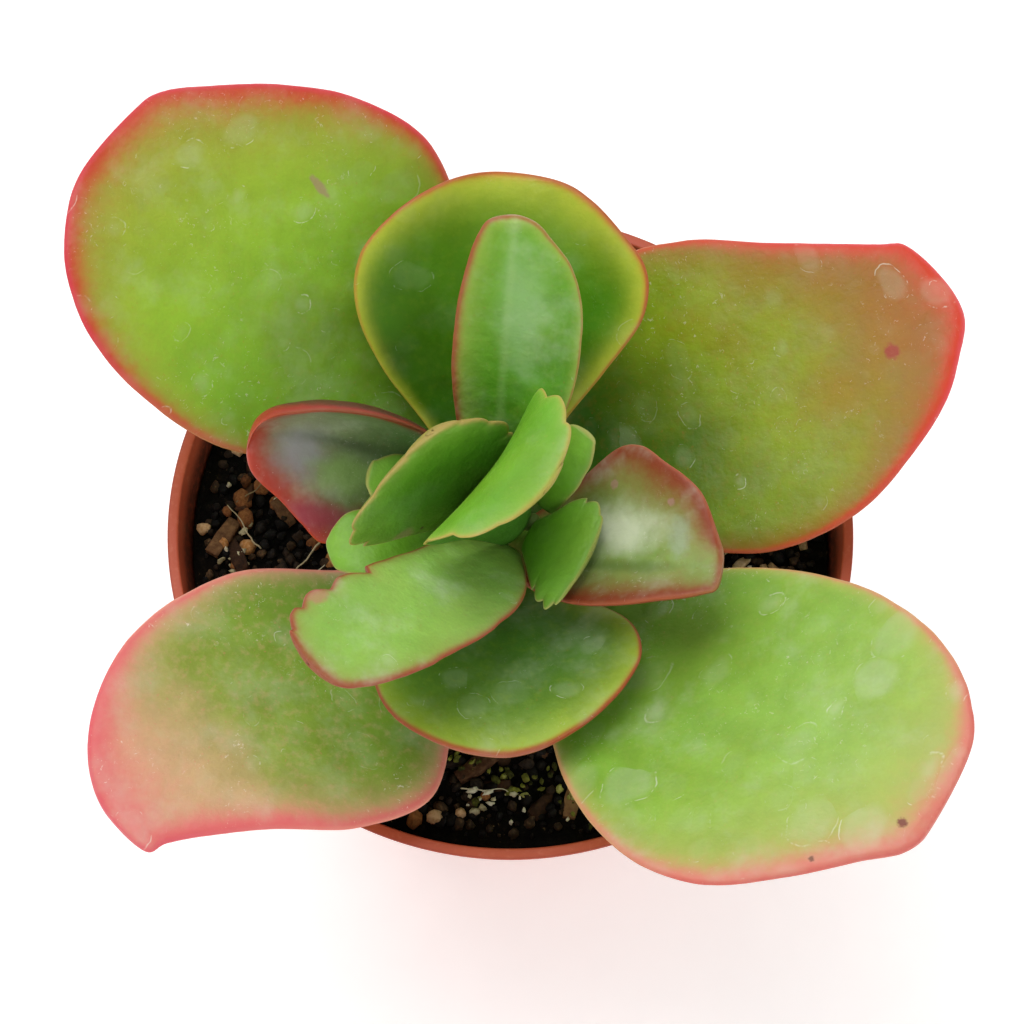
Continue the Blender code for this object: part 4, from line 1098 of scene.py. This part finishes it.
def build_loose_bits(settings, bed):
    """Crumbs, baked clay grains, mossy crumbs, bark and root fibres on the peat."""
    tree = scatter_tree()
    reach = (soil_wall_radius(SOIL_EDGE_LEVEL) - 1.4) * MM
    common = {"Reach": reach, "Cluster size": 1 / (14 * MM), "Cluster level": 0.0, "Tilt": math.pi,
              "Stem clearance": 0.0075, "Drift": (0.0, 0.0, 0.0), "Evenness": 1.0}
    crumbs = [lump_shape(f"crumb_{k}", k + 1, 2, 0.55, (1, 0.8, 0.7)) for k in range(5)]
    strew("peat_crumbs", bed, tree, crumbs,
          loose_material("peat_crumb", ((0.1, "060504"), (0.55, "17110c"), (0.85, "42301f"), (1.0, "7a5d3e")), 0.7, 0.7, 0.25),
          {**common, "Seed": settings.seed, "Density": settings.crumbs, "Spacing": 0.00115, "Smallest": 0.0007,
           "Largest": 0.0024, "Sink": -0.0002})
    grains = [lump_shape(f"grain_{k}", k + 21, 2, 0.4, (1, 0.85, 0.8)) for k in range(5)]
    strew("clay_grains", bed, tree, grains,
          loose_material("baked_clay_grain", ((0.0, "3a2212"), (0.3, "8c5630"), (0.6, "c4864c"), (0.9, "ecc292")), 0.5, 0.85, 0.4),
          {**common, "Seed": settings.seed + 1, "Density": settings.grains, "Spacing": 0.0026, "Smallest": 0.0016,
           "Largest": 0.0036, "Sink": -0.0006, "Stem clearance": 0.013, "Cluster level": 0.4, "Drift": (-45.0, 0.0, 0.0), "Evenness": 0.22})
    strew("mossy_crumbs", bed, tree, [lump_shape(f"moss_{k}", k + 41, 2, 0.9, (1, 0.7, 0.5)) for k in range(5)],
          loose_material("mossy_crumb", ((0.1, "2e2e10"), (0.4, "5e6024"), (0.7, "94943c"), (0.95, "c8c47c")), 0.6, 0.95, 0.25),
          {**common, "Seed": settings.seed + 2, "Density": settings.moss, "Spacing": 0.0009, "Smallest": 0.0006,
           "Largest": 0.0021, "Sink": -0.0009, "Stem clearance": 0.013, "Cluster size": 1 / (6 * MM),
           "Cluster level": 0.54, "Drift": (0.0, -40.0, 0.0), "Evenness": -0.5})
    strew("pale_crumbs", bed, tree, [lump_shape(f"pale_{k}", k + 51, 2, 1.0, (1, 0.6, 0.5)) for k in range(5)],
          loose_material("chalky_crumb", ((0.1, "8a7c5a"), (0.4, "c8bc94"), (0.8, "f0e8cc")), 0.6, 0.9, 0.2),
          {**common, "Seed": settings.seed + 5, "Density": settings.moss, "Spacing": 0.0009, "Smallest": 0.0005,
           "Largest": 0.0019, "Sink": -0.0011, "Stem clearance": 0.013, "Cluster size": 1 / (5 * MM),
           "Cluster level": 0.63})
    strew("bark_chips", bed, tree, [chip_shape(f"chip_{k}", k + 61) for k in range(5)],
          loose_material("bark_chip", ((0.1, "1c110a"), (0.5, "523420"), (0.9, "98704a")), 1.0, 0.8, 0.35),
          {**common, "Seed": settings.seed + 3, "Density": settings.bark, "Spacing": 0.003, "Smallest": 0.003,
           "Largest": 0.007, "Sink": -0.0006, "Tilt": 0.5, "Stem clearance": 0.015, "Reach": reach - 0.003})
    strew("pale_splinters", bed, tree, [chip_shape(f"splinter_{k}", k + 71) for k in range(5)],
          loose_material("weathered_bark_splinter", ((0.1, "7a5636"), (0.45, "c8aa80"), (0.85, "f0e4ca")), 0.8, 0.85, 0.2),
          {**common, "Seed": settings.seed + 6, "Density": settings.moss, "Spacing": 0.0016, "Smallest": 0.0018,
           "Largest": 0.0048, "Sink": -0.0008, "Tilt": 0.6, "Stem clearance": 0.015, "Drift": (50.0, 0.0, 0.0), "Evenness": -1.5})
    strew("root_fibres", bed, tree, [fibre_shape(f"fibre_{k}", k + 81) for k in range(6)],
          loose_material("dry_root_fibre", ((0.1, "8a7350"), (0.5, "bfae88"), (0.9, "e0d6b8")), 0.8, 0.8, 0.05),
          {**common, "Seed": settings.seed + 4, "Density": settings.fibres, "Spacing": 0.004, "Smallest": 0.007,
           "Largest": 0.013, "Sink": -0.0016, "Tilt": 0.16, "Stem clearance": 0.016, "Reach": reach - 0.006})


# Stage

def build_stage(settings):
    """Camera at the photograph's angle, a pale floor and soft light from above."""
    scene = bpy.context.scene
    scene.view_settings.view_transform = "Standard"
    lens = bpy.data.cameras.new("camera")
    lens.lens = settings.lens
    lens.sensor_width = 36.0
    lens.clip_end = 10.0
    camera = bpy.data.objects.new("camera", lens)
    scene.collection.objects.link(camera)
    eye, aim = Vector(settings.camera_place), Vector(settings.camera_aim)
    camera.matrix_world = Matrix.Translation(eye) @ (aim - eye).to_track_quat("-Z", "Y").to_matrix().to_4x4()
    scene.camera = camera

    floor_mesh = bpy.data.meshes.new("floor")
    shape = bmesh.new()
    # the floor is open under the pot's flat underside, so that no two faces lie in one plane
    opening = (POT_BASE_RADIUS - POT_EDGE_ROUND + 0.05) * MM
    profile = [shape.verts.new((opening, 0.0, 0.0)), shape.verts.new((settings.floor_radius, 0.0, 0.0))]
    for k in range(1, 13):
        turn = math.radians(7 * k)
        profile.append(shape.verts.new((settings.floor_radius + math.sin(turn), 0.0, 1 - math.cos(turn))))
    profile.append(shape.verts.new((settings.floor_radius + 1.1, 0.0, 2.2)))
    edges = [shape.edges.new(pair) for pair in zip(profile, profile[1:])]
    bmesh.ops.spin(shape, geom=profile + edges, cent=(0, 0, 0), axis=(0, 0, 1), angle=2 * math.pi, steps=96,
                   use_merge=True)
    bmesh.ops.remove_doubles(shape, verts=shape.verts, dist=0.0001)
    bmesh.ops.recalc_face_normals(shape, faces=shape.faces)
    shape.to_mesh(floor_mesh)
    shape.free()
    floor_mesh.shade_smooth()
    floor = temporary("floor", floor_mesh)
    floor_mesh.materials.append(light_table())

    world = bpy.data.worlds.new("soft_studio")
    world.use_nodes = True
    scene.world = world
    backdrop = world.node_tree.nodes["Background"]
    backdrop.inputs["Color"].default_value = colour("fbfcff")
    backdrop.inputs["Strength"].default_value = settings.fill
    lamps = (("top_softbox", (-0.25, 0.35, 1.1), 0.9, settings.key), ("front_softbox", (0.5, -0.9, 0.8), 0.7, settings.side))
    for name, place, size, power in lamps:
        light = bpy.data.lights.new(name, "AREA")
        light.shape = "DISK"
        light.size = size
        light.energy = power
        lamp = bpy.data.objects.new(name, light)
        scene.collection.objects.link(lamp)
        aim = Vector((0, 0, 0.1)) - Vector(place)
        lamp.matrix_world = Matrix.Translation(place) @ aim.to_track_quat("-Z", "Y").to_matrix().to_4x4()


def light_table():
    """White acrylic of a light table, lit a little from below."""
    material, tree, shader = new_material("backlit_white_acrylic", roughness=0.9, emission_strength=0.34)
    shader.inputs["Emission Color"].default_value = colour("ffffff")
    fibre = speckle(tree, object_place(tree), 6, 3)
    tree.links.new(ramp(tree, fibre, ((0.3, "f4f4f3"), (0.7, "f7f7f6"))), shader.inputs["Base Color"])
    return material


# Add-on

class LeafSettings(bpy.types.PropertyGroup):
    """How finely the leaves and the stem are built."""

    stations: IntProperty(name="Stations", description="Steps along each blade", default=110, min=12)
    columns: IntProperty(name="Columns", description="Steps from midrib to margin", default=18, min=4)
    crowding: FloatProperty(name="Crowding", description="How much the columns crowd to the margin", default=1.7)
    wave: FloatProperty(name="Wave", description="Broad unevenness of a blade in millimetres", default=0.28)
    dent: FloatProperty(name="Dent", description="Fine unevenness of a blade in millimetres", default=0.06)
    stem_levels: IntProperty(name="Stem levels", description="Steps up the stem", default=84, min=12)
    stem_sides: IntProperty(name="Stem sides", description="Steps round the stem", default=40, min=8)


class PotSettings(bpy.types.PropertyGroup):
    """How finely the pot is turned."""

    pot_segments: IntProperty(name="Segments", description="Steps round the pot", default=256, min=24)


class SoilSettings(bpy.types.PropertyGroup):
    """Relief of the peat and how much lies loose on it, in bits per square metre."""

    soil_rings: IntProperty(name="Rings", description="Steps from the stem to the wall", default=110, min=10)
    soil_sectors: IntProperty(name="Sectors", description="Steps round the peat", default=420, min=24)
    clod_height: FloatProperty(name="Clod height", description="Height of clods", default=0.0007, unit="LENGTH")
    crumb_height: FloatProperty(name="Crumb height", description="Height of crumbs", default=0.0004, unit="LENGTH")
    seed: IntProperty(name="Seed", description="Random seed of the loose bits", default=5)
    crumbs: FloatProperty(name="Crumbs", description="Peat crumbs per square metre", default=600000.0)
    grains: FloatProperty(name="Grains", description="Clay grains per square metre", default=140000.0)
    moss: FloatProperty(name="Moss", description="Mossy crumbs per square metre", default=600000.0)
    bark: FloatProperty(name="Bark", description="Bark chips per square metre", default=40000.0)
    fibres: FloatProperty(name="Fibres", description="Root fibres per square metre", default=12000.0)


class StageSettings(bpy.types.PropertyGroup):
    """Camera, floor and light."""

    lens: FloatProperty(name="Lens", description="Focal length in millimetres", default=96.54, unit="CAMERA")
    camera_place: FloatVectorProperty(name="Camera", description="Where the camera stands",
                                      default=(0.0, -0.14365, 0.47867), unit="LENGTH")
    camera_aim: FloatVectorProperty(name="Aim", description="The point the camera looks at",
                                    default=(0.000245, 0.00154, 0.08456), unit="LENGTH")
    floor_radius: FloatProperty(name="Floor", description="Radius of the flat floor", default=1.6, unit="LENGTH")
    fill: FloatProperty(name="Fill", description="Strength of the light all round", default=0.34)
    key: FloatProperty(name="Key", description="Power of the light overhead in watts", default=7.5, unit="POWER")
    side: FloatProperty(name="Side", description="Power of the light at the side in watts", default=1.8, unit="POWER")


class KalanchoeSettings(bpy.types.PropertyGroup):
    """All settings of the plant."""

    leaves: PointerProperty(type=LeafSettings, name="Leaves", description="Leaf and stem settings")
    pot: PointerProperty(type=PotSettings, name="Pot", description="Pot settings")
    soil: PointerProperty(type=SoilSettings, name="Soil", description="Peat settings")
    stage: PointerProperty(type=StageSettings, name="Stage", description="Camera and light settings")


class KALANCHOE_OT_stage(bpy.types.Operator):
    """Sets up the camera, the floor and the light"""

    bl_idname = "kalanchoe.stage"
    bl_label = "Set Up Stage"

    def execute(self, context):
        build_stage(context.scene.kalanchoe.stage)
        return {"FINISHED"}


class KALANCHOE_OT_pot(bpy.types.Operator):
    """Builds the nursery pot"""

    bl_idname = "kalanchoe.pot"
    bl_label = "Build Pot"

    def execute(self, context):
        build_pot(context.scene.kalanchoe.pot)
        return {"FINISHED"}


class KALANCHOE_OT_soil(bpy.types.Operator):
    """Builds the peat and the loose bits on it"""

    bl_idname = "kalanchoe.soil"
    bl_label = "Build Peat"

    def execute(self, context):
        settings = context.scene.kalanchoe.soil
        build_loose_bits(settings, build_soil(settings))
        return {"FINISHED"}


class KALANCHOE_OT_stem(bpy.types.Operator):
    """Builds the stem with its side twigs"""

    bl_idname = "kalanchoe.stem"
    bl_label = "Build Stem"

    def execute(self, context):
        build_stem(context.scene.kalanchoe.leaves)
        return {"FINISHED"}


class KALANCHOE_OT_leaves(bpy.types.Operator):
    """Builds all the leaves"""

    bl_idname = "kalanchoe.leaves"
    bl_label = "Build Leaves"

    def execute(self, context):
        for number, leaf in enumerate(LEAVES):
            build_leaf(leaf, context.scene.kalanchoe.leaves, 10.0 * number)
        return {"FINISHED"}


class KALANCHOE_PT_panel(bpy.types.Panel):
    """Sidebar panel with the build steps"""

    bl_idname = "KALANCHOE_PT_panel"
    bl_label = "Potted Kalanchoe"
    bl_space_type = "VIEW_3D"
    bl_region_type = "UI"
    bl_category = "Kalanchoe"

    def draw(self, context):
        settings = context.scene.kalanchoe
        for group, operators in ((settings.stage, ("stage",)), (settings.pot, ("pot",)),
                                 (settings.soil, ("soil",)), (settings.leaves, ("stem", "leaves"))):
            box = self.layout.box()
            for name in group.bl_rna.properties.keys():
                if name not in ("rna_type", "name"):
                    box.prop(group, name)
            for name in operators:
                box.operator("kalanchoe." + name)


CLASSES = (LeafSettings, PotSettings, SoilSettings, StageSettings, KalanchoeSettings, KALANCHOE_OT_stage,
           KALANCHOE_OT_pot, KALANCHOE_OT_soil, KALANCHOE_OT_stem, KALANCHOE_OT_leaves, KALANCHOE_PT_panel)


def register():
    for item in CLASSES:
        bpy.utils.register_class(item)
    bpy.types.Scene.kalanchoe = PointerProperty(type=KalanchoeSettings)


def unregister():
    del bpy.types.Scene.kalanchoe
    for item in reversed(CLASSES):
        bpy.utils.unregister_class(item)


def main():
    register()
    bpy.ops.kalanchoe.stage()
    bpy.ops.kalanchoe.pot()
    bpy.ops.kalanchoe.soil()
    bpy.ops.kalanchoe.stem()
    bpy.ops.kalanchoe.leaves()


if __name__ == "__main__":
    main()
